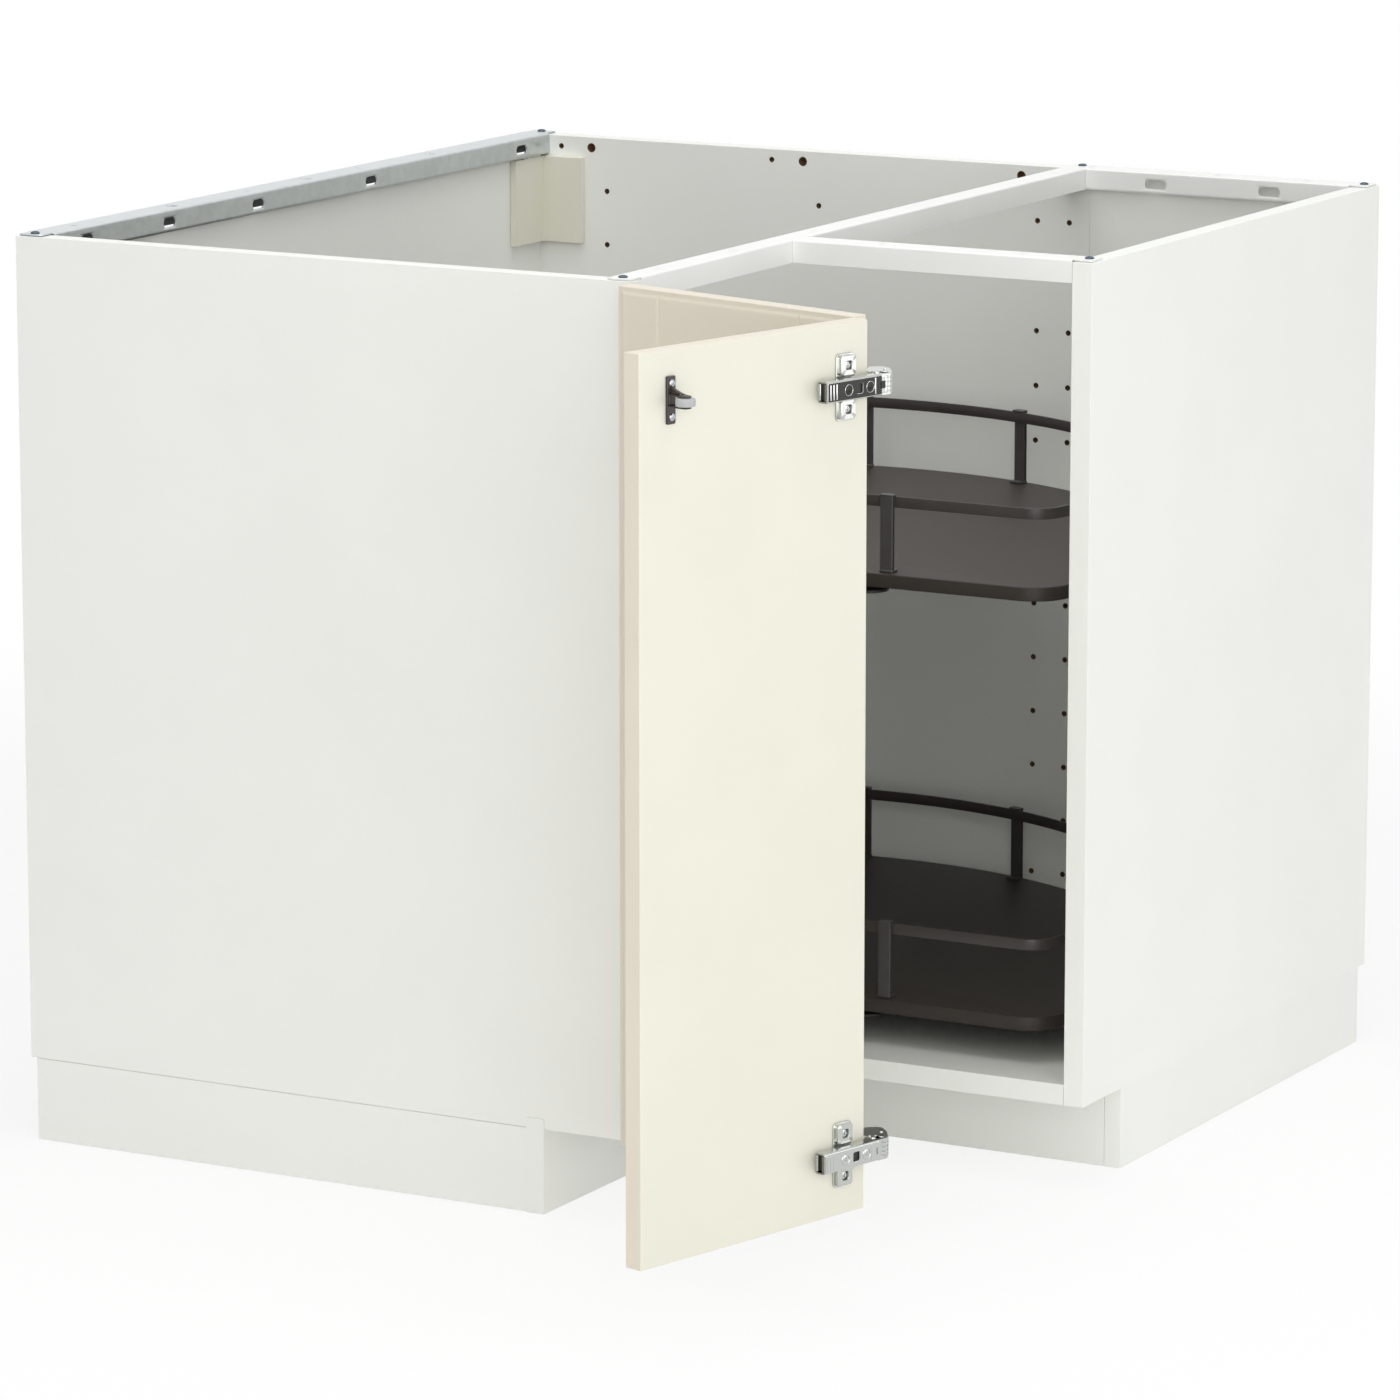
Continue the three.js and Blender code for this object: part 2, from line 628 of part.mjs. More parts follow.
/** A pressed cup with its flange, let into the back of the leaf at Y = 0. */
function hingeCup(fromEnd, z) {
  const wall = 1.2;
  const face = FIT + wall;
  const cup = alongY(circle(fromEnd, z, CUP_RADIUS - FIT, CUP_SIDES), FIT - CUP_DEPTH, face);
  const flange = alongY(rectangle(fromEnd - 9, z - 26, fromEnd + 9, z + 26), FIT, face);
  const hollow = alongY(circle(fromEnd, z, CUP_RADIUS - FIT - wall, CUP_SIDES), face - CUP_DEPTH, face + 1);
  return join(cup, flange).subtract(hollow);
}

/** A mounting plate on a face at Y = 0 that looks towards +Y: two wings with a raised rib between. */
function hingePlate(x, z) {
  const half = PLATE_WIDTH / 2;
  const reach = PLATE_HEIGHT / 2;
  return join(
    alongY(roundedRectangle(x - half, z - reach, x + half, z + reach, 3), FIT, PLATE_THICKNESS, 3),
    alongY(rectangle(x - 20, z - 6, x + 16, z + 6), FIT, PLATE_THICKNESS + RIB_HEIGHT),
  );
}

/** The arm over the plate: a box that is open at its rear end, with a round knuckle at its front end. */
function hingeArm(front, z) {
  const low = PLATE_THICKNESS + RIB_HEIGHT + FIT;
  const high = low + ARM_DEPTH;
  const rear = front - ARM_LENGTH;
  const half = ARM_HEIGHT / 2;
  const inner = half - ARM_WALL;
  const knuckle = front - ARM_DEPTH / 2;
  const shell = box([rear, low, z - half], [knuckle, high, z + half]);
  const hollowEnd = [knuckle - ARM_DEPTH, high - ARM_WALL, z + inner];
  const hollow = box([rear - 1, low + ARM_WALL, z - inner], hollowEnd);
  const window = rear + ARM_WINDOW_PLACE;
  const reach = ARM_WINDOW / 2;
  const openingStart = [window - reach, high - 2 * ARM_WALL, z - reach];
  const opening = box(openingStart, [window + reach, high + 1, z + reach]);
  const barrel = bar(ARM_DEPTH / 2, z - half, z + half, 12, knuckle, (low + high) / 2);
  return join(cut(shell, hollow, opening), barrel);
}

function hinges() {
  const { chrome } = materials;
  const onSide = (manifold) => manifold.translate([0, -INNER, 0]);
  for (const [level, z] of Object.entries(HINGE_HEIGHTS)) {
    part(`${level}_side_hinge_plate`, onSide(hingePlate(WING_DEPTH - SIDE_PLATE_INSET, z)), chrome);
    part(`${level}_side_hinge_arm`, onSide(hingeArm(WING_DEPTH - SIDE_ARM_SETBACK, z)), chrome);
    const sideCup = toHingedLeaf(hingeCup(CUP_INSET, z));
    const foldCup = toHingedLeaf(hingeCup(LEAF_LENGTH - CUP_INSET, z));
    part(`${level}_side_hinge_cup`, sideCup, chrome, closedDoor);
    part(`${level}_fold_hinge_cup`, foldCup, chrome, closedDoor);
    // On the folding leaf the hinge edge is at the far end of the blank, before the blank is mirrored.
    const foldPlate = toFoldingLeaf(hingePlate(LEAF_LENGTH - FOLD_PLATE_INSET, z));
    const foldArm = toFoldingLeaf(hingeArm(LEAF_LENGTH + FOLD_ARM_OVERHANG, z));
    part(`${level}_fold_hinge_plate`, foldPlate, chrome, closedDoor);
    part(`${level}_fold_hinge_arm`, foldArm, chrome, closedDoor);
  }
}

/** The catch on the folding leaf's back: a plate with two arms that hold a roller on an upright pin. */
function rollerCatch() {
  const x = CATCH_FROM_END;
  const z = LEAF_TOP - CATCH_DOWN;
  const half = CATCH_WIDTH / 2;
  const reach = CATCH_HEIGHT / 2;
  const plateTop = 2.5;
  const armAt = (low, high) => {
    const shape = new THREE.Shape();
    shape.moveTo(x - half, plateTop - 1);
    shape.lineTo(x + half, plateTop - 1);
    shape.lineTo(x + CATCH_ARM_TIP, ROLLER_OUT);
    shape.absarc(x, ROLLER_OUT, CATCH_ARM_TIP, 0, Math.PI);
    shape.closePath();
    return prism(shape, low, high, 5);
  };
  const armGap = ROLLER_HEIGHT / 2 + 0.6;
  const web = polygon([
    [plateTop - 1, z + armGap + 1], [ROLLER_OUT, z + armGap + 1], [ROLLER_OUT, z + armGap + 1.6],
    [plateTop - 1, z + armGap + 5],
  ]);
  const screws = [z - CATCH_SCREW, z + CATCH_SCREW];
  const bracket = cut(
    join(
      alongY(roundedRectangle(x - half, z - reach, x + half, z + reach, 1), FIT, plateTop, 3),
      armAt(z + armGap, z + armGap + 1.6),
      armAt(z - armGap - 1.4, z - armGap),
      alongX(web, x - half + 1, x + half - 1),
    ),
    ...screws.map((height) => alongY(circle(x, height, 2.4, 8), -1, plateTop + 1)),
    bar(1.5 + FIT, z - 20, z + 20, 10, x, ROLLER_OUT),
  );
  part('roller_bracket', toFoldingLeaf(bracket), materials.blackPlastic, closedDoor);
  const pin = bar(1.5, z - armGap - 1.4, z + armGap + 1.6, 10, x, ROLLER_OUT);
  part('roller_pin', toFoldingLeaf(pin), materials.zinc, closedDoor);
  const roller = ring(2, ROLLER_RADIUS, z - ROLLER_HEIGHT / 2, z + ROLLER_HEIGHT / 2, 20, x, ROLLER_OUT);
  part('catch_roller', toFoldingLeaf(roller), materials.greyPlastic, closedDoor);
}

// ---- Carousel --------------------------------------------------------------------------------------------

const atPost = (manifold) => manifold.translate([POST_PLACE, -POST_PLACE, 0]);

function centrePost() {
  const floor = FLOOR_OF_CABINET + FIT;
  const sides = 20;
  const bore = POST_RADIUS + 0.35;
  part('centre_post', atPost(bar(POST_RADIUS, floor, POST_TOP, sides)), materials.blackSteel);
  const flange = [
    [bore, floor], [46, floor], [46, floor + 2.5], [24, floor + 3.5], [19, floor + 5], [bore, floor + 5],
    [bore, floor],
  ];
  const quarter = [45, 135, 225, 315].map((angle) => THREE.MathUtils.degToRad(angle));
  const screwPlace = (angle) => [37 * Math.cos(angle), 37 * Math.sin(angle)];
  const holes = quarter.map((angle) => bar(2.6, floor - 1, floor + 6, 8, ...screwPlace(angle)));
  part('post_flange', atPost(cut(turned(flange, sides), ...holes)), materials.blackSteel);
  const brim = POST_RADIUS + 1;
  const cap = [
    [0, POST_TOP + FIT], [brim, POST_TOP + FIT], [brim, POST_TOP + 3], [POST_RADIUS - 2, POST_TOP + 5],
    [0, POST_TOP + 5.5],
  ];
  part('post_cap', atPost(turned(cap, sides)), materials.blackPlastic);
}

/** The tray's plan outline about the post, moved in from the round edge and from the notch's edges. */
function trayOutline(arcInset, edgeInset, Kind = THREE.Shape) {
  const radius = TRAY_RADIUS - arcInset;
  const notch = NOTCH - edgeInset;
  const corner = OUTER_CORNER - arcInset;
  const inner = INNER_CORNER + edgeInset;
  const across = Math.sqrt((radius - corner) ** 2 - (notch - corner) ** 2);
  const lean = Math.atan2(corner - notch, across);
  const outline = new Kind();
  outline.moveTo(notch + inner, -notch);
  outline.lineTo(across, -notch);
  addArc(outline, across, corner - notch, corner, -Math.PI / 2, lean);
  addArc(outline, 0, 0, radius, lean, Math.PI * 1.5 - lean);
  addArc(outline, notch - corner, -across, corner, Math.PI * 1.5 - lean, Math.PI * 2);
  outline.lineTo(notch, -notch - inner);
  addArc(outline, notch + inner, -notch - inner, inner, Math.PI, Math.PI / 2);
  return outline;
}

/** Straight facets along an arc; small corners get fewer of them than the round edge does. */
function addArc(outline, x, y, radius, from, to) {
  const share = Math.abs(to - from) / (Math.PI * 2);
  const steps = Math.max(5, Math.round(TRAY_SEGMENTS * share * Math.sqrt(radius / TRAY_RADIUS)));
  for (let step = 1; step <= steps; step += 1) {
    const angle = from + ((to - from) * step) / steps;
    outline.lineTo(x + radius * Math.cos(angle), y + radius * Math.sin(angle));
  }
}

/** Places and headings of the gallery posts: the round edge's, then one on each notch edge. */
function galleryPlaces() {
  const places = [];
  const radius = TRAY_RADIUS - ARC_INSET;
  for (const angle of ARC_POSTS) {
    const turn = THREE.MathUtils.degToRad(angle);
    places.push([radius * Math.cos(turn), radius * Math.sin(turn), angle]);
  }
  places.push([EDGE_POST, EDGE_INSET - NOTCH, -90]);
  places.push([NOTCH - EDGE_INSET, -EDGE_POST, 0]);
  return places;
}

function tray(level) {
  const top = TRAY_TOPS[level];
  const bottom = top - TRAY_THICKNESS;
  const bore = POST_RADIUS + 0.6;
  const board = cut(prism(trayOutline(0, 0), bottom, top), bar(bore + 6, bottom - 1, top + 1, 20));
  part(`${level}_tray_board`, atPost(board), materials.trayFoil);

  const bandShape = trayOutline(ARC_INSET, EDGE_INSET);
  bandShape.holes.push(trayOutline(ARC_INSET + BAND_THICKNESS, EDGE_INSET + BAND_THICKNESS, THREE.Path));
  const bandTop = top + GALLERY_HEIGHT;
  const band = prism(bandShape, bandTop - BAND_HEIGHT, bandTop);

  // A gallery post stands against the band's outside; drawn at the origin with the outside towards +X.
  const low = top + FIT;
  const half = GALLERY_POST_WIDTH / 2;
  const out = GALLERY_POST_DEPTH;
  const upright = join(
    prism(rectangle(-0.8, -half, out, half), low, bandTop + 1),
    prism(rectangle(-POST_FOOT, -half, out, half), low, low + 2),
    prism(rectangle(-BAND_THICKNESS - 1, -half, out, half), bandTop - 0.5, bandTop + 1.5),
  );
  const stand = ([x, y, heading]) => upright.rotate([0, 0, heading]).translate([x, y, 0]);
  const posts = galleryPlaces().map(stand);
  part(`${level}_gallery`, atPost(join(band, ...posts)), materials.blackSteel);

  const foot = bottom - HUB_DROP;
  const hub = [
    [bore, foot], [20, foot], [24, bottom - 5], [58, bottom - 3.5], [58, bottom - FIT],
    [bore + 5.5, bottom - FIT], [bore + 5.5, top + FIT], [26, top + FIT], [24, top + 5], [bore, top + 5],
    [bore, foot],
  ];
  part(`${level}_tray_hub`, atPost(turned(hub, 20)), materials.blackPlastic);

  const bearingTop = foot - FIT;
  const bearing = ring(bore, 20, bearingTop - BEARING_THICKNESS, bearingTop, 20);
  part(`${level}_bearing_ring`, atPost(bearing), materials.greyPlastic);
  const collarTop = bearingTop - BEARING_THICKNESS - FIT;
  const collar = ring(POST_RADIUS + 0.35, 17, collarTop - COLLAR_HEIGHT, collarTop, 20);
  part(`${level}_post_collar`, atPost(collar), materials.zinc);

  const disc = [
    [0, bottom - 8], [DISC_RADIUS - 1, bottom - 8], [DISC_RADIUS, bottom - 7], [DISC_RADIUS, bottom - 5],
    [8, bottom - 4], [8, bottom - FIT], [0, bottom - FIT],
  ];
  part(`${level}_tray_disc`, atPost(turned(disc, 16, ...DISC_PLACE)), materials.blackPlastic);
}

// ---- Assembly --------------------------------------------------------------------------------------------

sidePanels();
bottomPanels();
backPanels();
topRails();
cornerBlock();
plinths();
legs();
plinthClips();
leaves();
hinges();
rollerCatch();
centrePost();
tray('upper');
tray('lower');

cabinet.position.set(-LEG_INSET, LEG_INSET, 0);
cabinet.updateMatrixWorld(true);

export default cabinet;
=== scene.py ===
# %% [markdown]
# # A corner carousel cabinet
# An L-shaped kitchen base unit made of white foil-faced boards, with pressed-steel rails across its
# open top, an off-white door in two hinged leaves, and two dark pie-cut trays on a post. The
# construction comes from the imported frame. This script gives it rounded edges, drilled holes,
# pressed and moulded detail, and its finishes.

# %% Load the frame
import json
import math

import bmesh
import bpy
import numpy as np
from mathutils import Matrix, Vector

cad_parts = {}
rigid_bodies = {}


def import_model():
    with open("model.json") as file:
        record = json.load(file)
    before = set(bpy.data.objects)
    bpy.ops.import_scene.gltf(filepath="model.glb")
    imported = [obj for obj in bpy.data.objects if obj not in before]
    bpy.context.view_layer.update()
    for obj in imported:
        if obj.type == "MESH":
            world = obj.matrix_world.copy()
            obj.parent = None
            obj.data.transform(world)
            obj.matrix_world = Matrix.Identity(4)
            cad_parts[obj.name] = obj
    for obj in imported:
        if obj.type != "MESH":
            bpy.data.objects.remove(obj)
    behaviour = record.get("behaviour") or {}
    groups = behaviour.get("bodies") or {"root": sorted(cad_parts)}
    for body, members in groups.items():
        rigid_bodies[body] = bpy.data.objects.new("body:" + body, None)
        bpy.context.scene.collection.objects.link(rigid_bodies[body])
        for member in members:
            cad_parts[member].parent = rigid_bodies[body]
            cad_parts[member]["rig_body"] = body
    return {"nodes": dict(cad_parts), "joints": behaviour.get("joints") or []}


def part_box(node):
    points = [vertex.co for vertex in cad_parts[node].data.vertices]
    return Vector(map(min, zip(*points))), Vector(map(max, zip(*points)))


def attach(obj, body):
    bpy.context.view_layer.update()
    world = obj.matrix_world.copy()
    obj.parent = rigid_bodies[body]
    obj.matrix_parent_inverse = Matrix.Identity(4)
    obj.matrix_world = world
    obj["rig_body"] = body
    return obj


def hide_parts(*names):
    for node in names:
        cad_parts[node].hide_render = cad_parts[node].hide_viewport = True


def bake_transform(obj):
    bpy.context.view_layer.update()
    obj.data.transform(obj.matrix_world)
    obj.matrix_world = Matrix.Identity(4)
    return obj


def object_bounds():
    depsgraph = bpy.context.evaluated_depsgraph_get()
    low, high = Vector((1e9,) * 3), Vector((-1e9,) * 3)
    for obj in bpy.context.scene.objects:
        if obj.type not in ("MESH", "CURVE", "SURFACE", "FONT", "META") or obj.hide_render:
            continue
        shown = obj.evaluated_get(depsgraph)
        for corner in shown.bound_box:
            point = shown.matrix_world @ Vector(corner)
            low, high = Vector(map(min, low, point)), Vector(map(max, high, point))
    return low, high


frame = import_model()
cad_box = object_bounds()
joints = {joint["name"]: joint for joint in frame["joints"]}
MM = 0.001

# %% [markdown]
# ## Room coordinates
# The cabinet stands in the corner of a room, so its pieces are easiest to place from the two walls:
# X out from the left wall, Y out from the rear wall (so always negative), Z up from the floor, in
# millimetres. The frame's origin is under the leg that stands in the corner, 70 mm from both walls.

# %% Sizes taken from the frame, in millimetres
LEG_INSET = 70.0
TO_FRAME = np.array([-LEG_INSET, LEG_INSET, 0.0])


def node_box(name):
    """A CAD node's lowest and highest corner in room coordinates, in millimetres."""
    low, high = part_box(name)
    return np.array(low) / MM - TO_FRAME, np.array(high) / MM - TO_FRAME


def heights(name):
    """A CAD node's lowest and highest place above the floor."""
    return [corner[2] for corner in node_box(name)]


left_low, left_high = node_box("left_side_panel")
right_low, right_high = node_box("right_side_panel")
BOARD = left_high[1] - left_low[1]
SIDE = right_high[0]
DEPTH = left_high[0]
BOTTOM, TOP = left_low[2], left_high[2]
RAIL_LOW, RAIL_TOP = heights("wall_rail")
print("board", round(BOARD, 2), "side", round(SIDE, 1), "depth", round(DEPTH, 1), "top", round(TOP, 1))

# %% [markdown]
# ## Turning arrays into pieces
# Every surface below is worked out as arrays of points. This cell holds the one place where such
# arrays become a mesh object that rides on a body of the frame. Faces are made to point outwards,
# and edges sharper than 35 degrees keep a crease so that flat faces stay flat.

# %% Mesh helper
CREASE = math.radians(35)
CORNER = math.radians(60)  # eases only the corners of a board, not the facets of its holes


def ease_edges(made, width, segments=2, angle=CREASE):
    """Edges sharper than the angle, rounded over by width millimetres."""
    rounded = made.modifiers.new("eased edges", "BEVEL")
    rounded.width = width * MM
    rounded.segments = segments
    rounded.limit_method = "ANGLE"
    rounded.angle_limit = angle
    rounded.harden_normals = True


def piece(name, part, finish, body, replaces=(), ease=0.0, wall=0.0, blend=None, marks=None):
    """A mesh object from a part, which is (points in room millimetres, faces). ease rounds its
    edges, wall gives an open sheet thickness, and marks is the number of each face's material."""
    points, faces = part
    mesh = bpy.data.meshes.new(name)
    mesh.from_pydata(((np.asarray(points, float) + TO_FRAME) * MM).tolist(), [],
                     [list(face) for face in faces])
    if marks is not None:
        mesh.polygons.foreach_set("material_index", marks)
    work = bmesh.new()
    work.from_mesh(mesh)
    bmesh.ops.remove_doubles(work, verts=work.verts, dist=1e-7)
    if not wall:
        bmesh.ops.recalc_face_normals(work, faces=work.faces)
    work.to_mesh(mesh)
    work.free()
    mesh.shade_smooth()
    mesh.set_sharp_from_angle(angle=CREASE)
    made = bpy.data.objects.new(name, mesh)
    bpy.context.scene.collection.objects.link(made)
    for material in finish if isinstance(finish, list) else [finish]:
        mesh.materials.append(material)
    if wall:
        sheet = made.modifiers.new("sheet thickness", "SOLIDIFY")
        sheet.thickness = wall * MM
        sheet.offset = -1
        sheet.material_offset = len(mesh.materials) - 1
        made.modifiers.new("flat faces stay flat", "WEIGHTED_NORMAL").keep_sharp = True
    if ease:
        ease_edges(made, ease)
    if blend:
        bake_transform(made)
    else:
        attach(made, body)
    if replaces:
        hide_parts(*replaces)
    return made


def joined(*parts):
    """Several (points, faces) pairs as one pair."""
    points, faces, start = [], [], 0
    for part_points, part_faces in parts:
        points.append(np.asarray(part_points, float))
        faces += [[index + start for index in face] for face in part_faces]
        start += len(part_points)
    return np.concatenate(points), faces


# %% [markdown]
# ## Colours and shader nodes
# Colours are written as the hex values a screen shows. The renderer works in linear light, so one
# function converts them. Another adds a shader node with its settings and links, which keeps each
# finish short to read.

# %% Colour and node helpers


def linear(code):
    """sRGB hex such as 'E9EBE8' as a linear RGBA colour: the low end is a straight line, the rest a
    2.4 power."""
    channels = np.array([int(code[at:at + 2], 16) for at in (0, 2, 4)]) / 255
    light = np.where(channels <= 0.04045, channels / 12.92, ((channels + 0.055) / 1.055) ** 2.4)
    return (*light.tolist(), 1.0)


def add(tree, kind, inputs=None, **settings):
    """One shader node. settings are its own properties; inputs are socket values or other nodes'
    outputs."""
    made = tree.nodes.new("ShaderNode" + kind)
    for name, value in settings.items():
        setattr(made, name, value)
    for name, value in (inputs or {}).items():
        socket = made.inputs[name]
        if isinstance(value, bpy.types.NodeSocket):
            tree.links.new(value, socket)
        else:
            socket.default_value = value
    return made


def new_finish(name, base, sockets):
    """A material with one Principled shader, its values set on the shader's own sockets, and Object
    coordinates."""
    material = bpy.data.materials.new(name)
    material.use_nodes = True
    tree = material.node_tree
    tree.nodes.clear()
    shader = add(tree, "BsdfPrincipled", {"Base Color": linear(base), **sockets})
    out = add(tree, "OutputMaterial")
    tree.links.new(shader.outputs["BSDF"], out.inputs["Surface"])
    return material, tree, shader, add(tree, "TexCoord").outputs["Object"]


def grain(tree, place, size_mm, detail=2.0, stretch=(1, 1, 1)):
    """Noise whose blotches are about size_mm across. stretch squeezes it along an axis, as brushing
    does."""
    scaled = add(tree, "Mapping", {"Vector": place, "Scale": [axis / (size_mm * MM) for axis in stretch]})
    return add(tree, "TexNoise", {"Vector": scaled.outputs[0], "Scale": 1.0, "Detail": detail}).outputs["Fac"]


def relief(tree, shader, height, depth_mm, strength=1.0):
    """Bump from a height that runs from 0 to 1 over depth_mm."""
    bump = add(tree, "Bump", {"Height": height, "Distance": depth_mm * MM, "Strength": strength})
    tree.links.new(bump.outputs["Normal"], shader.inputs["Normal"])


def tinted(tree, shader, fac, dark, light, low=0.35, high=0.65):
    """Base colour that drifts between two near shades as fac goes from low to high."""
    spread = add(tree, "MapRange", {"Value": fac, "From Min": low, "From Max": high})
    mix = add(tree, "Mix", {"Factor": spread.outputs[0], "A": linear(dark), "B": linear(light)},
              data_type="RGBA")
    tree.links.new(mix.outputs[2], shader.inputs["Base Color"])


def roughened(tree, shader, fac, low, high):
    """Roughness that drifts between two values with fac."""
    spread = add(tree, "MapRange", {"Value": fac, "From Min": 0.3, "From Max": 0.7,
                                    "To Min": low, "To Max": high})
    tree.links.new(spread.outputs[0], shader.inputs["Roughness"])


def finish(name, slot, base, sockets, tint=None, rough=None, bumps=None):
    """A material with up to three patterns, each of which starts with its grain's size in
    millimetres and its detail. tint goes on with the darker and the lighter shade, rough with a
    squeeze along each axis and the least and the most roughness, and bumps with the relief's depth
    in millimetres and its strength."""
    material, tree, shader, place = new_finish(name, base, sockets)
    if tint:
        tinted(tree, shader, grain(tree, place, *tint[:2]), *tint[2:])
    if rough:
        roughened(tree, shader, grain(tree, place, *rough[:3]), *rough[3:])
    if bumps:
        relief(tree, shader, grain(tree, place, *bumps[:2]), *bumps[2:])
    return material


# %% [markdown]
# ## Board finishes
# Melamine foil is paper soaked in resin and pressed on chipboard between steel plates, which print
# it with a faint pearl texture a few tenths of a millimetre across. It scatters light almost
# evenly, with a soft sheen at a grazing look. Where a drill goes through it, the raw brown
# chipboard shows. The door's face and edges have a foil drawn over the routed board, a little
# warmer and glossier than its flat backing.

# %% White foil, raw chipboard, door foils, tray foil


def door_foil(name, base, darker):
    return finish(name, "cream_foil", base, {"Roughness": 0.4, "IOR": 1.5, "Specular IOR Level": 0.45},
                  tint=(120, 3, darker, base), bumps=(0.9, 2, 0.02, 0.35))


WHITE_FOIL = finish("white_foil_on_chipboard", "white_foil", "F5F6F1",
                    {"Roughness": 0.46, "IOR": 1.5, "Specular IOR Level": 0.4},
                    tint=(160, 3, "F4F5F0", "F6F7F2"), bumps=(0.7, 1, 0.02, 0.35))
CHIPBOARD = finish("raw_chipboard", "white_foil", "7A5A3C", {"Roughness": 0.9},
                   tint=(1.1, 4, "4E3622", "9C7A52"), bumps=(0.8, 3, 0.25, 0.8))
DOOR_FOIL = door_foil("off_white_drawn_foil_on_fibreboard", "E8E0CF", "E6DECD")
DOOR_BACKING = door_foil("off_white_backing_foil", "E7E5D6", "E5E3D4")
TRAY_FOIL = finish("dark_grey_foil_on_fibreboard", "tray_foil", "342E2A",
                   {"Roughness": 0.5, "IOR": 1.5, "Specular IOR Level": 0.35},
                   tint=(3, 2, "332D29", "352F2B"), bumps=(0.6, 1, 0.02, 0.3))
print("board finishes:", WHITE_FOIL.name, DOOR_FOIL.name, TRAY_FOIL.name)

# %% [markdown]
# ## Metal finishes
# Hot-dip galvanising leaves zinc crystals, a pattern of dull facets about a centimetre wide. A darker,
# duller zinc on a rail's inner faces is painted shade inside the channel. Zinc plate on small steel
# parts is brighter and satin, and the rail screws' zinc has a blue passivation that makes them dark.
# Nickel plate on pressed steel is nearly a mirror, softened by the steel's rolling lines. A dark grey
# nickel on the upper fold hinge's arm cover and cam screws is a painted dark reflection. Powder coat
# flows when it is baked and keeps a slight orange peel.

# %% Galvanised sheet, zinc plate, nickel plate, powder coats
CRYSTAL = 7.0  # millimetres across a zinc crystal
ROLLED = (1, 1, 0.15)  # stretches a grain along the steel's rolling lines


def galvanised_sheet():
    material, tree, shader, place = new_finish("galvanised_sheet", "C9CECF",
                                               {"Metallic": 1.0, "Roughness": 0.32})
    scaled = add(tree, "Mapping", {"Vector": place, "Scale": [1 / (CRYSTAL * MM)] * 3})
    crystals = add(tree, "TexVoronoi", {"Vector": scaled.outputs[0], "Scale": 1.0, "Randomness": 1.0})
    crystal = add(tree, "SeparateColor", {"Color": crystals.outputs["Color"]}).outputs[0]
    tinted(tree, shader, crystal, "C5CACB", "CDD2D3", 0.0, 1.0)
    roughened(tree, shader, crystal, 0.30, 0.34)
    relief(tree, shader, grain(tree, place, 1.5, 2), 0.01, 0.2)
    return material


GALVANISED = galvanised_sheet()
# Painted shade: a darker, duller zinc for the rails' inner faces, where the channel is in shade.
SHADE_PAINTED_ZINC = finish("zinc_with_painted_shade_inside_the_channel", "galvanised_steel", "73787A",
                   {"Metallic": 1.0, "Roughness": 0.6}, tint=(5, 2, "6E7375", "787D7F"))
ZINC = finish("bright_zinc_plate", "zinc_steel", "B9BEC2", {"Metallic": 1.0, "Roughness": 0.24},
              rough=(2, 3, (1, 1, 1), 0.2, 0.32))
BLUED_ZINC = finish("blue_passivated_zinc_screw", "zinc_steel", "46525E",
                    {"Metallic": 1.0, "Roughness": 0.35}, rough=(2, 3, (1, 1, 1), 0.3, 0.42))
NICKEL = finish("nickel_plated_steel", "chrome", "C2C4C1", {"Metallic": 1.0, "Roughness": 0.13},
                rough=(3, 3, ROLLED, 0.09, 0.18))
# Painted dark reflection: nickel made dark grey, for the one arm cover that looks dark.
NICKEL_WITH_PAINTED_DARK_REFLECTION = finish("nickel_plate_with_painted_dark_reflection", "chrome", "3C3C3B", {"Metallic": 1.0, "Roughness": 0.22},
                       rough=(3, 3, ROLLED, 0.18, 0.28))
WHITE_COAT = finish("white_powder_coat", "white_steel", "F5F5F3", {"Roughness": 0.36, "IOR": 1.5},
                    tint=(90, 2, "F3F3F1", "F6F6F4"), bumps=(1.6, 2, 0.03, 0.4))
DARK_COAT = finish("dark_grey_powder_coat", "black_steel", "3A3533", {"Roughness": 0.42, "IOR": 1.5},
                   tint=(40, 2, "383331", "3D3836"), bumps=(0.9, 2, 0.03, 0.5))
print("metal finishes:", GALVANISED.name, NICKEL.name, WHITE_COAT.name)

# %% [markdown]
# ## Plastics
# The small fittings are moulded in polyamide, and the catch's roller in acetal. The moulds were
# spark-eroded to a fine matt texture, which spreads a highlight into a soft patch.

# %% Moulded fittings


def moulded_plastic(name, base, darker, roughness, slot="black_plastic"):
    return finish(name, slot, base, {"Roughness": roughness, "IOR": 1.5},
                  tint=(12, 2, darker, base), bumps=(0.4, 1, 0.02, 0.5))


BRACKET_PLASTIC = moulded_plastic("brown_black_polyamide", "3B3331", "372F2D", 0.38)
OLIVE_PLASTIC = moulded_plastic("olive_polyamide", "77735C", "6E6A54", 0.45)
POST_PLASTIC = moulded_plastic("graphite_polyamide", "454342", "413F3E", 0.4)
BLACK_PLASTIC = moulded_plastic("black_polyamide", "242322", "201F1E", 0.45)
ROLLER_PLASTIC = moulded_plastic("grey_acetal", "B4B6B8", "AEB0B2", 0.35, "grey_plastic")
print("plastics:", BRACKET_PLASTIC.name, POST_PLASTIC.name, ROLLER_PLASTIC.name)

# %% [markdown]
# ## Sheets with holes in them
# Drilled boards and slotted rails have the same kind of surface: a flat sheet with holes. Cutting
# the holes with booleans would work, but a grid is cleaner. The sheet is divided by lines so that
# each hole has a cell of its own, and such a cell becomes four faces that run from the cell's
# corners to the hole's rim. The grid can then be bent into any section.

# %% Pierced grid
RIM_STEPS = 6  # points on a quarter of a hole's rim
SQUARE_RIM, SOFT_RIM = 9, 6  # powers of a superellipse


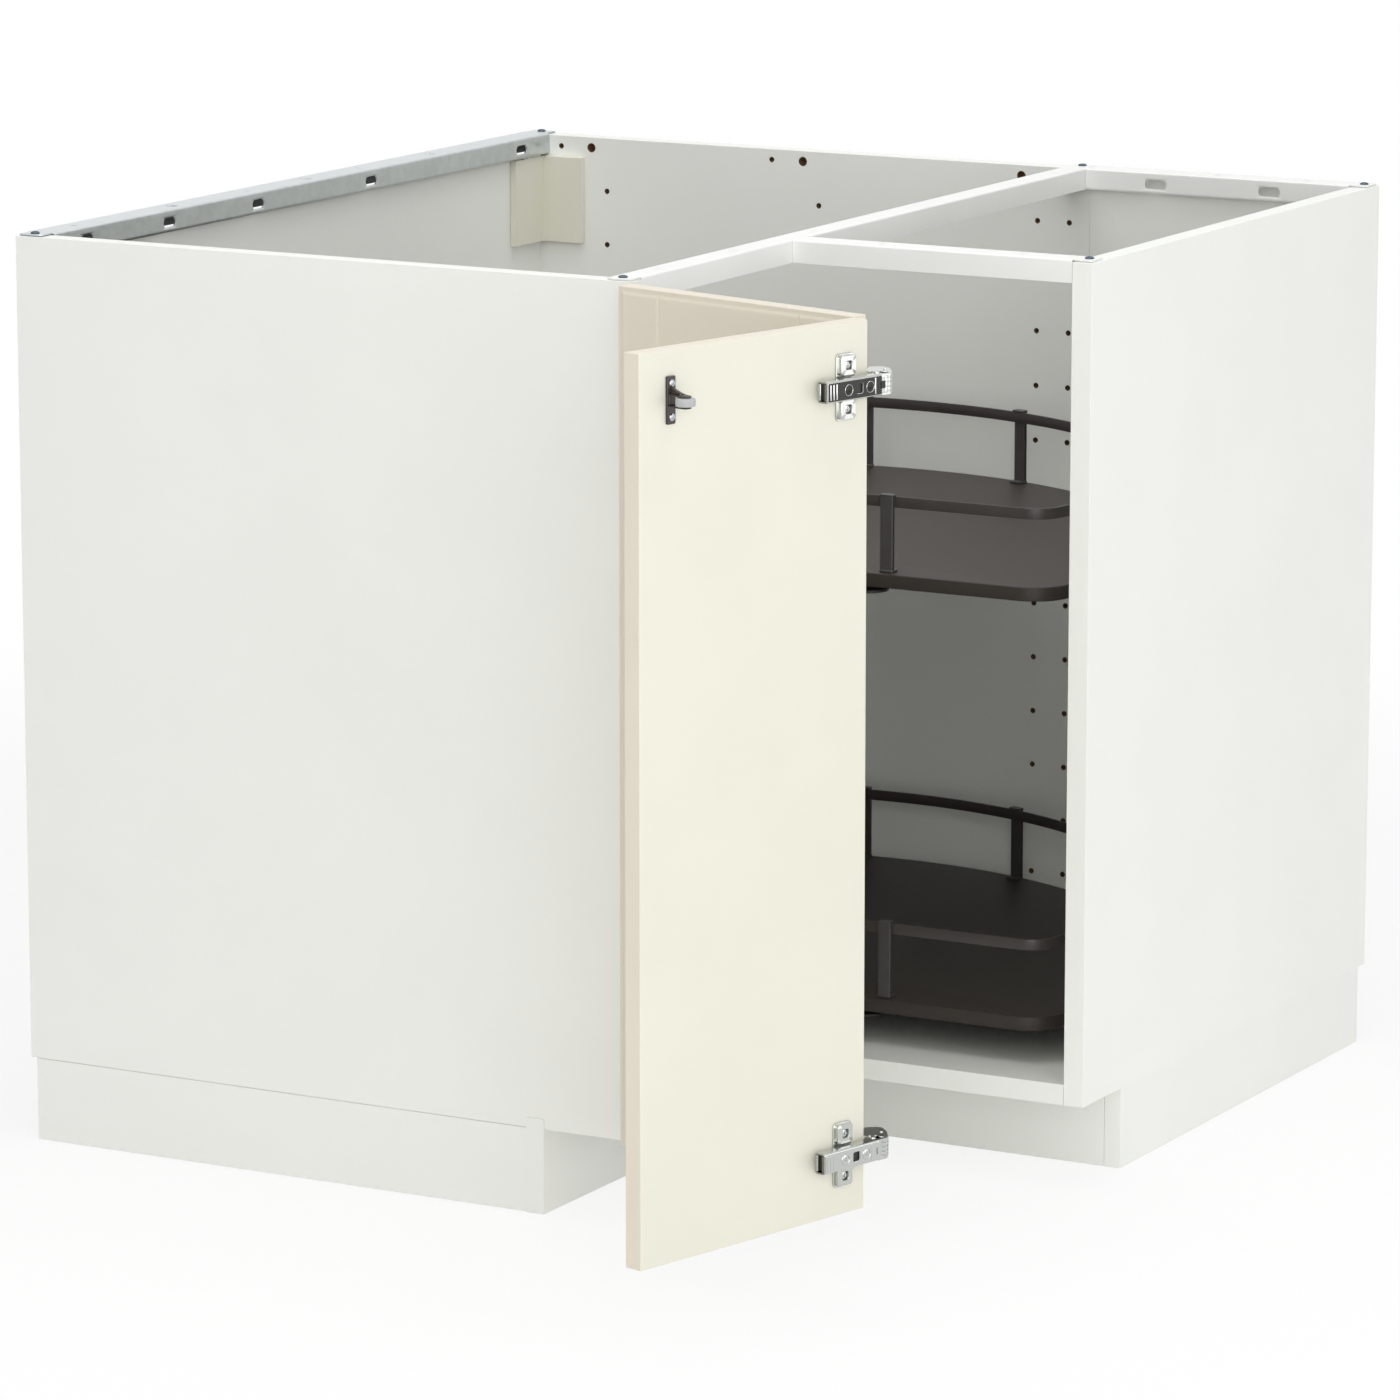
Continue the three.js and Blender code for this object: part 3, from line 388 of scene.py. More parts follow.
def rim_loop(half_u, half_v, power=2.0):
    """A hole's rim as a superellipse |u/a|^p + |v/b|^p = 1: p of 2 is round, large p is nearly
    square."""
    angle = np.linspace(-0.75, 1.25, 4 * RIM_STEPS, endpoint=False) * math.pi
    across, up = np.cos(angle), np.sin(angle)
    reach = (np.abs(across) ** power + np.abs(up) ** power) ** (-1 / power)
    return np.stack([half_u * reach * across, half_v * reach * up], 1)


def slot_loop(half_length, radius):
    """A slot's rim: a circle whose two halves are moved apart along u."""
    loop = rim_loop(radius, radius)
    loop[:, 0] += np.sign(loop[:, 0]) * (half_length - radius)
    return loop


def pierced(lines_u, lines_v, holes, gaps=lambda u, v: False):
    """A grid of quads over the lines. holes is a list of (u, v, loop), and gaps(u, v) drops the
    cells it is true for. Returns flat points, faces and the rims as lists of point numbers."""
    u, v = np.meshgrid(lines_u, lines_v, indexing="ij")
    points = [np.stack([u.ravel(), v.ravel()], 1)]
    faces, rims, count, rows = [], [], u.size, len(lines_v)
    placed = {(int(np.searchsorted(lines_u, hole[0])) - 1, int(np.searchsorted(lines_v, hole[1])) - 1): hole
              for hole in holes}
    for i in range(len(lines_u) - 1):
        for j in range(rows - 1):
            if gaps((lines_u[i] + lines_u[i + 1]) / 2, (lines_v[j] + lines_v[j + 1]) / 2):
                continue
            corners = [i * rows + j, (i + 1) * rows + j, (i + 1) * rows + j + 1, i * rows + j + 1]
            if (i, j) not in placed:
                faces.append(corners)
                continue
            hole_u, hole_v, loop = placed[(i, j)]
            points.append(loop + [hole_u, hole_v])
            rim = [count + step for step in range(len(loop))]
            count += len(loop)
            for side in range(4):
                arc = [rim[(side * RIM_STEPS + step) % len(rim)] for step in range(RIM_STEPS, -1, -1)]
                faces.append([corners[side], corners[(side + 1) % 4], *arc])
            rims.append(rim)
    return np.concatenate(points), faces, rims


def border_of(number):
    """The point numbers round a grid's border, in order."""
    return np.concatenate([number[:, 0], number[-1, 1:], number[-2::-1, -1], number[0, -2:0:-1]])


print("a round hole has", 4 * RIM_STEPS, "points on its rim")

# %% [markdown]
# ## The drilled side boards
# Each side board carries four columns of shelf-pin holes and a row of holes along its top edge for
# fittings. The holes are blind: a wall and a floor of raw chipboard behind a rim of foil. The
# board's outline is drawn once, from the front edge inwards, and placed three times.

# %% Side boards
HOLE_COLUMNS = [20.5, 53, 281, 509]  # behind the front edge
HOLE_ROWS = 13
HOLE_PITCH = 51.2
TOP_ROW_DOWN = 50.7
PIN_RADIUS = 2.5
DOWEL_PLACES = [70, 298, 526]
DOWEL_RADIUS = 4.3
TOP_SCREW_PLACES = [331, 559]
TOP_HOLES_DOWN = 10.0
HOLE_DEPTH = 11.0
CELL = 7.0  # half the width of the grid cell round a hole


def drilled_board():
    """A side board as (behind the front edge, depth from the inner face, height) with its holes'
    walls and floors. Two grids, one pierced and one plain, stand a board's thickness apart and are
    joined along their borders."""
    rows = TOP - TOP_ROW_DOWN - HOLE_PITCH * np.arange(HOLE_ROWS)
    top_row = TOP - TOP_HOLES_DOWN
    places = sorted(HOLE_COLUMNS + DOWEL_PLACES + TOP_SCREW_PLACES)
    lines_u = sorted({0.0, DEPTH, *[place + side * CELL for place in places for side in (-1, 1)]})
    lines_v = sorted({BOTTOM, TOP, *[row + side * CELL for row in [*rows, top_row] for side in (-1, 1)]})
    pin, dowel = rim_loop(PIN_RADIUS, PIN_RADIUS), rim_loop(DOWEL_RADIUS, DOWEL_RADIUS)
    holes = [(column, row, pin) for column in HOLE_COLUMNS for row in rows]
    holes += [(place, top_row, dowel) for place in DOWEL_PLACES]
    holes += [(place, top_row, pin) for place in TOP_SCREW_PLACES]
    flat, faces, rims = pierced(lines_u, lines_v, holes)
    inner = np.stack([flat[:, 0], np.zeros(len(flat)), flat[:, 1]], 1)
    count_u, count_v = len(lines_u), len(lines_v)
    outer = inner[:count_u * count_v] + [0, BOARD, 0]
    start = len(inner)
    number = np.arange(count_u * count_v).reshape(count_u, count_v)
    border = border_of(number).tolist()
    faces += [[start + at for at in border]]
    faces += [[a, b, start + b, start + a] for a, b in zip(border, border[1:] + border[:1])]
    points, bare = [inner, outer], []
    floor_start = start + len(outer)
    for rim in rims:
        points.append(inner[rim] + [0, HOLE_DEPTH, 0])
        floor = [floor_start + step for step in range(len(rim))]
        floor_start += len(rim)
        bare += [[rim[at], rim[at - 1], floor[at - 1], floor[at]] for at in range(len(rim))] + [floor]
    return np.concatenate(points), faces, bare


board_points, board_faces, bare_faces = drilled_board()


def side_board(side, place):
    """place turns (behind the front edge, into the board, height) into room coordinates."""
    is_bare = np.repeat([0, 1], [len(board_faces), len(bare_faces)])
    made = piece(f"{side}_side_board", (place(*board_points.T), board_faces + bare_faces),
                 [WHITE_FOIL, CHIPBOARD], "carcass", [f"{side}_side_panel"], marks=is_bare)
    ease_edges(made, 0.35, angle=CORNER)


side_board("left", lambda behind, into, up: np.stack([DEPTH - behind, left_high[1] - into, up], 1))
side_board("rear", lambda behind, into, up: np.stack([DEPTH - behind, into - BOARD, up], 1))
side_board("right", lambda behind, into, up: np.stack([right_low[0] + into, behind - DEPTH, up], 1))
print("side boards:", len(board_points), "points each")

# %% [markdown]
# ## Plain boards
# Bottoms, thin backs and plinths are simple sawn boards whose shape the frame already has. What
# they lack is the small rounding that every real edge has and that catches the light. A copy of
# each node gets it, after the copy's loose triangles are merged and its flat faces are made whole.

# %% Eased copies of plain nodes


def eased_copy(node, name, finish, ease):
    """The node's own shape with its sharp edges rounded by ease millimetres. It replaces the
    node."""
    source = frame["nodes"][node]
    work = bmesh.new()
    work.from_mesh(source.data)
    bmesh.ops.remove_doubles(work, verts=work.verts, dist=1e-6)
    bmesh.ops.dissolve_limit(work, angle_limit=math.radians(1), verts=work.verts, edges=work.edges)
    work.verts.ensure_lookup_table()
    points = np.array([vertex.co for vertex in work.verts]) / MM - TO_FRAME
    faces = [[vertex.index for vertex in face.verts] for face in work.faces]
    work.free()
    piece(name, (points, faces), finish, source["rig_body"], [node], ease=ease)


for node in ("main_bottom_panel", "wing_bottom_panel", "main_front_plinth", "wing_front_plinth"):
    eased_copy(node, node.replace("_panel", "_board") + "_eased", WHITE_FOIL, 0.35)
for node in ("left_back_panel", "wing_back_panel", "plinth_end_cap", "left_end_plinth", "right_end_plinth"):
    eased_copy(node, node + "_eased", WHITE_FOIL, 0.2)
eased_copy("corner_block", "corner_block_eased", DOOR_BACKING, 0.3)
eased_copy("corner_block_clip", "corner_clip_eased", ZINC, 0.15)
print("plain boards eased")

# %% [markdown]
# ## Folded top rails
# The rails are strips of sheet steel, punched flat and then folded down along both edges. They can
# be made the same way here: a flat pierced grid, whose second coordinate is the distance round the
# folded section. A function of that distance then gives the place on the section. Ears are cells
# left at the ends of the top face.

# %% Rail sections
SHEET = 1.5
BEND = 1.6  # outer radius of the folds
BEND_STEPS = 5
EAR_HALF = 11.0
SLOT_DOWN = 8.5  # a lip slot's middle, above the lip's edge
SLOT_RADIUS = 4.4
SLIT = (1.3, 4.2)  # half sizes of a slit across the top
TOP_WINDOW = (3.5, 5.4)  # and of a window there
EAR_HOLE = 2.7
SLOT_ROOM, EAR_CELL, WINDOW_CELL = 3.0, 5.0, 8.0  # how far a hole's cell reaches to each side along the rail
SLIT_CELL = 10 + SLOT_ROOM  # the same lines as a lip slot's
TOP_CELL = 6.0  # half the width of the cells along the middle of the top, and of a lip


def folded(width, lip):
    """The section's outline as (distance round it, across, height), from one lip's edge over the
    top to the other's. Each fold is a quarter circle of radius BEND."""
    turn = np.linspace(0, math.pi / 2, BEND_STEPS + 1)
    across = [np.zeros(1), BEND - BEND * np.cos(turn), width - BEND + BEND * np.sin(turn), np.full(1, width)]
    height = [np.zeros(1), lip - BEND + BEND * np.sin(turn), lip - BEND + BEND * np.cos(turn), np.zeros(1)]
    across, height = np.concatenate(across), np.concatenate(height)
    steps = np.hypot(np.diff(across), np.diff(height))
    return np.concatenate([[0], np.cumsum(steps)]), across, height


def rail(width, start, end, lip_slots=(), top_slits=(), windows=(), ears=()):
    """A rail from start to end along u. lip_slots are (place, half length) on the second lip,
    top_slits are places of narrow slits that lie across the top, windows are places of larger
    openings there, and ears are (end of the ear, screw's place). Returns points (u, across, height)
    and faces."""
    distance, across, height = folded(width, RAIL_TOP - RAIL_LOW)
    total = distance[-1]
    middle = total / 2
    lines_v = {round(float(value), 4) for value in distance}
    lines_v |= {middle - TOP_CELL, middle + TOP_CELL}
    lines_u = {float(start), float(end)}
    holes = []
    if lip_slots:
        lines_v |= {total - SLOT_DOWN - TOP_CELL, total - SLOT_DOWN + TOP_CELL}
    for place, half in lip_slots:
        lines_u |= {place - half - SLOT_ROOM, place + half + SLOT_ROOM}
        holes.append((place, total - SLOT_DOWN, slot_loop(half, SLOT_RADIUS)))
    for places, margin, half_sizes in ((top_slits, SLIT_CELL, SLIT), (windows, WINDOW_CELL, TOP_WINDOW)):
        for place in places:
            lines_u |= {place - margin, place + margin}
            holes.append((place, middle, rim_loop(*half_sizes, SOFT_RIM)))
    for tip, screw in ears:
        lines_u |= {float(tip), screw - EAR_CELL, screw + EAR_CELL}
        lines_v |= {middle - EAR_HALF, middle + EAR_HALF}
        holes.append((screw, middle, rim_loop(EAR_HOLE, EAR_HOLE)))
    flat, faces, _ = pierced(
        sorted(lines_u), sorted(lines_v), holes,
        gaps=lambda u, v: (u < start or u > end) and abs(v - middle) > EAR_HALF)
    return np.stack([flat[:, 0], np.interp(flat[:, 1], distance, across),
                     RAIL_LOW + np.interp(flat[:, 1], distance, height)], 1), faces


def outward_from(points, faces):
    """A sheet's faces, flipped if taken together they look towards its middle and not away from it."""
    a, b, c = (points[[face[at] for face in faces]] for at in range(3))
    away = np.einsum("ij,ij->", np.cross(b - a, c - b), (a + b + c) / 3 - points.mean(0))
    return (points, faces) if away > 0 else (points, [face[::-1] for face in faces])


def folded_rail(name, axis, span, place, finish, **openings):
    """A rail as wide as its node is along the axis. place takes (points, node's low, node's high)
    to the room."""
    low, high = node_box(name)
    points, faces = rail(high[axis] - low[axis], *span, **openings)
    piece(name + "_folded", outward_from(place(points, low, high), faces), finish, "carcass", [name],
          wall=SHEET)
    print(name, len(points), "points")


SLOTS = [-812, -683, -538, -345, -71]  # along the long rails
WINDOWS = [-658, -435, -217]
END_GAP = 0.3  # between a rail's lips and the boards
EAR_TIP = 2.0  # from the board's outer face
long_span = (left_high[1] + END_GAP, -BOARD - END_GAP)
short_span = (DEPTH + END_GAP, right_low[0] - END_GAP)
left_ear, rear_ear = (EAR_TIP - SIDE, BOARD / 2 - SIDE), (-EAR_TIP, -BOARD / 2)
right_ear = (SIDE - EAR_TIP, SIDE - BOARD / 2)



def along_left_wall(p, low, high):
    return p[:, [1, 0, 2]] + [low[0], 0, 0]


# The wall rail's inner faces take the zinc with painted shade.
folded_rail("wall_rail", 0, long_span, along_left_wall, [GALVANISED, SHADE_PAINTED_ZINC],
            lip_slots=[(place, 10) for place in SLOTS], top_slits=SLOTS[:1] + SLOTS[2:], windows=WINDOWS,
            ears=[left_ear, rear_ear])
folded_rail("middle_rail", 0, long_span, along_left_wall, WHITE_COAT, top_slits=SLOTS,
            ears=[left_ear, rear_ear])
folded_rail("front_rail", 1, short_span, lambda p, low, high: p + [0, low[1], 0], WHITE_COAT,
            top_slits=[678, 809], ears=[right_ear])
folded_rail("back_rail", 1, short_span, lambda p, low, high: p * [1, -1, 1] + [0, high[1], 0], WHITE_COAT,
            lip_slots=[(671, 11), (784, 11)], top_slits=[727, 815], ears=[right_ear])

# %% [markdown]
# ## Lofts and turned pieces
# Pressed, moulded and turned fittings can all be stacked from loops: a loop is an outline at one
# height, and neighbouring loops are joined by a belt of quads. A turned piece is a stack of
# circles, a pressed pad a stack of rounded rectangles that shrink and rise. Both ends are closed
# with a face.

# %% Loop helpers


def arc(angle, radius, centre=(0, 0)):
    """Points on a circle, one at each angle."""
    return centre + radius * np.stack([np.cos(angle), np.sin(angle)], 1)


def round_loop(radius, steps=40):
    return arc(np.linspace(0, 2 * math.pi, steps, endpoint=False), radius)


def pad_loop(width, height, radius, steps=5):
    """A rounded rectangle: four quarter circles, joined by the straight sides between them."""
    quarter, middle = np.linspace(0, math.pi / 2, steps), np.array([width / 2 - radius, height / 2 - radius])
    return np.concatenate([arc(quarter + turn * math.pi / 2, radius, sides * middle)
                           for turn, sides in enumerate([(1, 1), (-1, 1), (-1, -1), (1, -1)])])


def belts(number):
    """Quads between neighbouring rows of point numbers, each row closed on itself."""
    following = np.roll(number, -1, 1)
    return np.stack([number[:-1], following[:-1], following[1:], number[1:]], -1).reshape(-1, 4).tolist()


def stack(loops, ring=False):
    """Loops of (x, y) points with a height each, as [(loop, height), ...]. ring joins the last loop
    to the first."""
    count = len(loops[0][0])
    points = np.concatenate([np.column_stack([loop, np.full(count, height)]) for loop, height in loops])
    number = np.arange(len(loops) * count).reshape(len(loops), count)
    if ring:
        return points, belts(np.concatenate([number, number[:1]]))
    return points, belts(number) + [number[0][::-1].tolist(), number[-1].tolist()]


def eased_stack(inner, rim, low, high, ease):
    """An outline carried from low to high, with both end faces drawn in to a smaller outline."""
    return stack([(inner, low), (rim, low + ease), (rim, high - ease), (inner, high)])


def turned(profile, steps=40):
    """A solid of revolution about Z from [(radius, height), ...], closed at both ends."""
    return stack([(round_loop(radius, steps), height) for radius, height in profile])


def turned_ring(profile, steps=48):
    """A ring about Z: the profile closes on itself."""
    return stack([(round_loop(radius, steps), height) for radius, height in profile], ring=True)


def shifted(part, offset):
    return part[0] + np.asarray(offset, float), part[1]


def turned_piece(name, profile, steps, place, finish, body, nodes=(), shape=turned):
    """A turned solid, or with shape=turned_ring a ring, standing at a place of the floor plan."""
    piece(name, shifted(shape(profile, steps), (*place[:2], 0)), finish, body, nodes)


def node_middle(name):
    """The middle of a node's box."""
    low, high = node_box(name)
    return (low + high) / 2


def cross_head(radius, height, arm=None):
    """A screw's head on a polar grid: a dome z = h(1 - (r/R)^4), less a cross recess whose walls
    slope. Returns points about Z, with the head's underside at 0."""
    arm = arm or radius * 0.55
    slot = radius * 0.14
    radii = np.concatenate([[0.02], np.linspace(0.1, 1, 14)]) * radius
    angle = np.linspace(0, 2 * math.pi, 64, endpoint=False)
    r, a = np.meshgrid(radii, angle, indexing="ij")
    x, y = r * np.cos(a), r * np.sin(a)
    dome = height * (1 - 0.55 * (r / radius) ** 4)
    narrow = np.minimum(np.abs(x), np.abs(y))
    inside = np.clip((slot - narrow) / (0.4 * slot), 0, 1) * np.clip((arm - r) / (0.2 * arm), 0, 1)
    z = dome - 0.6 * height * inside
    points = np.concatenate([np.stack([x, y, z], -1).reshape(-1, 3), np.stack([x[-1], y[-1], 0 * x[-1]], 1)])
    number = np.arange((len(radii) + 1) * 64).reshape(-1, 64)
    return points, belts(number) + [number[0].tolist(), number[-1][::-1].tolist()]


print("loop helpers ready")

# %% [markdown]
# ## Rail screws
# Six pan-head screws hold the rails' ears to the boards' top edges.

# %% Rail screws
wall_x, middle_x = node_middle("wall_rail")[0], node_middle("middle_rail")[0]
front_y, back_y = node_middle("front_rail")[1], node_middle("back_rail")[1]
screw_places = [(x, ear[1]) for x in (wall_x, middle_x) for ear in (left_ear, rear_ear)]
screw_places += [(right_ear[1], y) for y in (front_y, back_y)]
rail_screw = joined(cross_head(3.9, 1.8), turned([(1.8, -1.7), (1.8, 0.1)], 24))
piece("rail_screw_set", joined(*[shifted(rail_screw, (x, y, RAIL_TOP + 0.05)) for x, y in screw_places]),
      BLUED_ZINC, "carcass")
print(len(screw_places), "rail screws")

# %% [markdown]
# ## Legs
# Behind the plinths stand six moulded legs. A sleeve with a wide flange is screwed to the bottom
# board, and a foot on a thick plastic thread turns in it to level the cabinet. The thread is drawn
# as a row of rounded ridges.

# %% Legs
LEG_NODES = [name for name in frame["nodes"] if name.startswith("leg_")]
flange = heights("leg_corner")[1]
sleeve_profile = [(11.4, 31), (11.4, 30), (16.4, 30), (17, 30.6), (17, 33), (16.2, 33.6), (16.2, 35),
                  (17.1, 35.6), (17.8, flange - 12), (19, flange - 8), (29, flange - 4), (30, flange - 3.4),
                  (30, flange)]
PITCH = 2.5  # of the thread
thread = [pair for low in np.arange(9.5, 31, PITCH) for pair in
          ((8.7, low), (10, low + 0.35 * PITCH), (10, low + 0.65 * PITCH), (8.8, low + 0.98 * PITCH))]
foot_profile = [(24.2, 0), (25, 0.8), (25, 3.2), (24, 4.2), (18, 8), (11, 9), (9, 9.2), *thread, (8.6, 33.5)]
for node in LEG_NODES:
    turned_piece(node + "_sleeve", sleeve_profile, 48, node_middle(node), BLACK_PLASTIC, "carcass", [node])
    turned_piece(node + "_foot", foot_profile, 48, node_middle(node), BLACK_PLASTIC, "carcass")
for node in ("left_plinth_clip", "right_plinth_clip"):
    eased_copy(node, node + "_eased", BLACK_PLASTIC, 0.4)
print(len(LEG_NODES), "legs")

# %% [markdown]
# ## The door's place
# The door is measured closed and stands open, so its pieces are drawn on the closed leaves and then
# turned about the door's hinge axis. On a leaf, x runs from its outer end to where the leaves meet,
# y is the distance behind its back (so the face is at minus 18), and z is the height.

# %% Leaf coordinates
OPEN = -math.radians(joints["door_swing"]["range_deg"][1])
pivot = np.array(joints["door_swing"]["pos_m"]) / MM - TO_FRAME
leaf_low, leaf_high = heights("hinged_leaf")
LEAF = 18.0
DOOR_GAP = 2.0
LEAF_BACK = DEPTH + DOOR_GAP
LEAF_LENGTH = SIDE - 2 * DOOR_GAP - LEAF_BACK - LEAF
HINGE_HEIGHTS = {"upper": leaf_high - 50, "lower": leaf_low + 50}


def opened(x, y, z):
    """Closed places turned about the door's axis by the angle at which it stands open."""
    out, along, cosine, sine = x - pivot[0], y - pivot[1], math.cos(OPEN), math.sin(OPEN)
    return np.stack([pivot[0] + out * cosine - along * sine, pivot[1] + out * sine + along * cosine, z], 1)


def on_hinged_leaf(part):
    x, y, z = part[0].T
    return opened(LEAF_BACK - y, DOOR_GAP - SIDE + x, z), part[1]


def on_folding_leaf(part):
    x, y, z = part[0].T
    return opened(SIDE - DOOR_GAP - x, y - LEAF_BACK, z), part[1]


def on_left_board(part):
    """x is the distance behind the board's front edge, y the distance off its inner face."""
    x, y, z = part[0].T
    return np.stack([DEPTH - x, left_high[1] + y, z], 1), part[1]


print("leaf", round(LEAF_LENGTH, 1), "x", round(leaf_high - leaf_low, 1))
print("open by", round(-math.degrees(OPEN)), "degrees")

# %% [markdown]
# ## Door leaves
# The face of each leaf is routed before the foil is drawn over it: a low border all round and two
# upright grooves. The foil softens every corner. The face is a height field: at each point of a
# grid, the depth is the larger of what the border and the grooves cut there.

# %% Door leaves
BORDER = 6.5
BORDER_DEPTH = 1.7
GROOVES = (46.0, 200.0)
GROOVE_HALF = 1.9
GROOVE_DEPTH = 1.4


def eased_step(distance, width, depth):
    """A cut that is depth deep at the edge and runs out with no corner at width: depth times a half
    cosine."""
    part = np.clip(distance / width, 0, 1)
    return depth * 0.5 * (1 + np.cos(math.pi * part))


def routed_leaf():
    """The leaf as a closed grid: the routed face, four sides and a flat back."""
    steps = np.array([0, 0.25, 0.5, 0.62, 0.74, 0.86, 1.0, 1.3]) * BORDER
    groove = np.array([-1.3, -1, -0.7, -0.4, -0.15, 0, 0.15, 0.4, 0.7, 1, 1.3]) * GROOVE_HALF
    u = [steps, LEAF_LENGTH - steps, *[place + groove for place in GROOVES]]
    v = [leaf_low + steps, leaf_high - steps]
    u, v = (np.unique(np.round(np.concatenate(places), 4)) for places in (u, v))
    grid_u, grid_v = np.meshgrid(u, v, indexing="ij")
    to_edge = np.minimum.reduce([grid_u, LEAF_LENGTH - grid_u, grid_v - leaf_low, leaf_high - grid_v])
    cut = eased_step(np.maximum(to_edge - BORDER * 0.55, 0), BORDER * 0.45, BORDER_DEPTH)
    for place in GROOVES:
        cut = np.maximum(cut, eased_step(np.abs(grid_u - place), GROOVE_HALF, GROOVE_DEPTH))
    front = np.stack([grid_u, cut - LEAF, grid_v], -1).reshape(-1, 3)
    number = np.arange(grid_u.size).reshape(grid_u.shape)
    quads = np.stack([number[:-1, :-1], number[1:, :-1], number[1:, 1:], number[:-1, 1:]], -1).reshape(-1, 4)
    border = border_of(number)
    back = front[border] * [1, 0, 1]
    back_number = np.arange(len(border)) + len(front)
    sides = np.stack([border, np.roll(border, -1), np.roll(back_number, -1), back_number], 1)
    return np.concatenate([front, back]), [*quads.tolist(), *sides.tolist(), back_number.tolist()]


for node, place, body in (("hinged_leaf", on_hinged_leaf, "first_leaf"),
                          ("folding_leaf", on_folding_leaf, "second_leaf")):
    points, faces = place(routed_leaf())
    leaf = piece(node + "_board", (points, faces), [DOOR_FOIL, DOOR_BACKING], body, [node],
                 marks=[0] * (len(faces) - 1) + [1])  # the last face is the back
    ease_edges(leaf, 0.9, 3, CORNER)
print("leaf face has", len(routed_leaf()[0]), "points")

# %% [markdown]
# ## Concealed hinges
# A concealed hinge has a cup let into one board, a plate screwed to the other, and an arm clipped
# on the plate and linked to the cup. All four hinges are the same, so each piece is drawn once,
# along the arm: x from the arm's rear end, y off the board, z from the hinge's middle. The arm is a
# pressed box, so it can be folded from a pierced strip as the rails were.

# %% Hinge coordinates and small solids
ARM_LOW, ARM_HIGH = 4.4, 14.9
ARM_HALF = 8.5
ARM_FRONT = 66.0  # where the box ends and the knuckle begins
WINDOW = 37.0
KNUCKLE = (71.75, 9.65)
CAMS = (24.0, 48.6)  # places of the two cam screws
FOLD_REAR = LEAF_LENGTH - 62  # the arm's rear end on the folding leaf
SIDE_REAR = 78.5  # and behind the left board's front edge
PLATE_PLACE = {"fold": 35.0, "side": 41.5}
CUP_INSET = 22.0


def hinge_place(kind, z):
    """What takes a part from a hinge's own coordinates to the room. The side hinges' arms run the
    other way."""
    if kind == "side":
        return lambda part: on_left_board((part[0] * [-1, 1, 1] + [SIDE_REAR, 0, z], part[1]))
    return lambda part: on_folding_leaf((part[0] + [FOLD_REAR, 0, z], part[1]))


def block(low, high, radius=0.6):
    """A box with rounded edges between two corners, stacked along y."""
    low, high = np.asarray(low, float), np.asarray(high, float)
    size, centre = high - low, (low + high) / 2
    radius = min(radius, size[0] / 2.01, size[2] / 2.01)
    loop = pad_loop(size[0], size[2], radius)
    inner = pad_loop(size[0] - 2 * radius * 0.6, size[2] - 2 * radius * 0.6, radius * 0.5)
    points, faces = eased_stack(inner, loop, low[1], high[1], radius * 0.6)
    return points[:, [0, 2, 1]] + [centre[0], 0, centre[2]], faces


def about_y(part, x, y, z):
    """A part stacked about Z, laid over so that its axis is y and its top looks towards +y."""
    return part[0][:, [0, 2, 1]] * [1, 1, -1] + [x, y, z], part[1]


def pair_at(part, x, y, z, spread):
    """The part laid over at two places, spread above and below z."""
    return [about_y(part, x, y, z + side * spread) for side in (-1, 1)]


def softened(loop, rounds=2):
    """A closed outline whose corners are cut off by a quarter of each side, again and again."""
    loop = np.asarray(loop, float)
    for _ in range(rounds):
        following = np.roll(loop, -1, 0)
        loop = np.stack([0.75 * loop + 0.25 * following, 0.25 * loop + 0.75 * following], 1).reshape(-1, 2)
    return loop


print("arm from", ARM_LOW, "to", ARM_HIGH, "mm off the board")

# %% Hinge arm


def box_section(low, high, half, radius):
    """A rounded box as (distance round it, y, z), from the middle of its board side all the way
    round."""
    middles = np.array([(low + radius, half - radius), (high - radius, half - radius),
                        (high - radius, radius - half), (low + radius, radius - half)])
    angle = math.pi - np.arange(4)[:, None] * math.pi / 2 - np.linspace(0, math.pi / 2, 4)
    y = np.concatenate([[low], (middles[:, :1] + radius * np.cos(angle)).ravel(), [low]])
    z = np.concatenate([[0], (middles[:, 1:] + radius * np.sin(angle)).ravel(), [0]])
    return np.concatenate([[0], np.cumsum(np.hypot(np.diff(y), np.diff(z)))]), y, z


def arm_box():
    """The arm's pressed box, open at both ends and pierced by a square window."""
    distance, y, z = box_section(ARM_LOW, ARM_HIGH, ARM_HALF, 1.8)
    middle = distance[-1] / 2
    flat, faces, _ = pierced([0, WINDOW - 6, WINDOW + 6, ARM_FRONT],
                             sorted({*distance.tolist(), middle - 6, middle + 6}),
                             [(WINDOW, middle, rim_loop(4, 4, SQUARE_RIM))])
    along, round_it = flat.T
    return np.stack([along, np.interp(round_it, distance, y), np.interp(round_it, distance, z)], 1), faces


def arm_cover():
    """The plate on the arm's outer face: a frame round the window, and a tongue between the prongs
    at its front."""
    outer = pad_loop(61, 14.4, 1, RIM_STEPS) + [31.5, 0]
    inner = np.roll(rim_loop(4.1, 4.1, SQUARE_RIM), -9, 0) + [WINDOW, 0]
    low, high = ARM_HIGH - 0.2, ARM_HIGH + 0.3
    frame_part = stack([(outer, low), (outer, high), (inner, high), (inner, low)], ring=True)
    return joined(about_y(frame_part, 0, 0, 0), block((60, low, -3.0), (66.5, high, 3.0), 0.3))


def arm_fittings():
    """What the arm's outer face carries: three ridges, a bar and the seats of two cam screws."""
    face = ARM_HIGH + 0.2
    ridges = [block((a - 0.6, face - 0.5, -6.3), (a + 0.6, face + 0.5, 6.3), 0.5) for a in (3.3, 6.8, 10.3)]
    bar = block((54.0, face - 0.5, -6.6), (55.2, face + 0.5, 6.6), 0.5)
    seat = turned_ring([(4.6, -0.5), (4.6, 0.3), (4.4, 0.55), (4.1, 0.3), (4.1, -0.5)], 36)
    return joined(*ridges, bar, *[about_y(seat, a, face, 0) for a in CAMS])


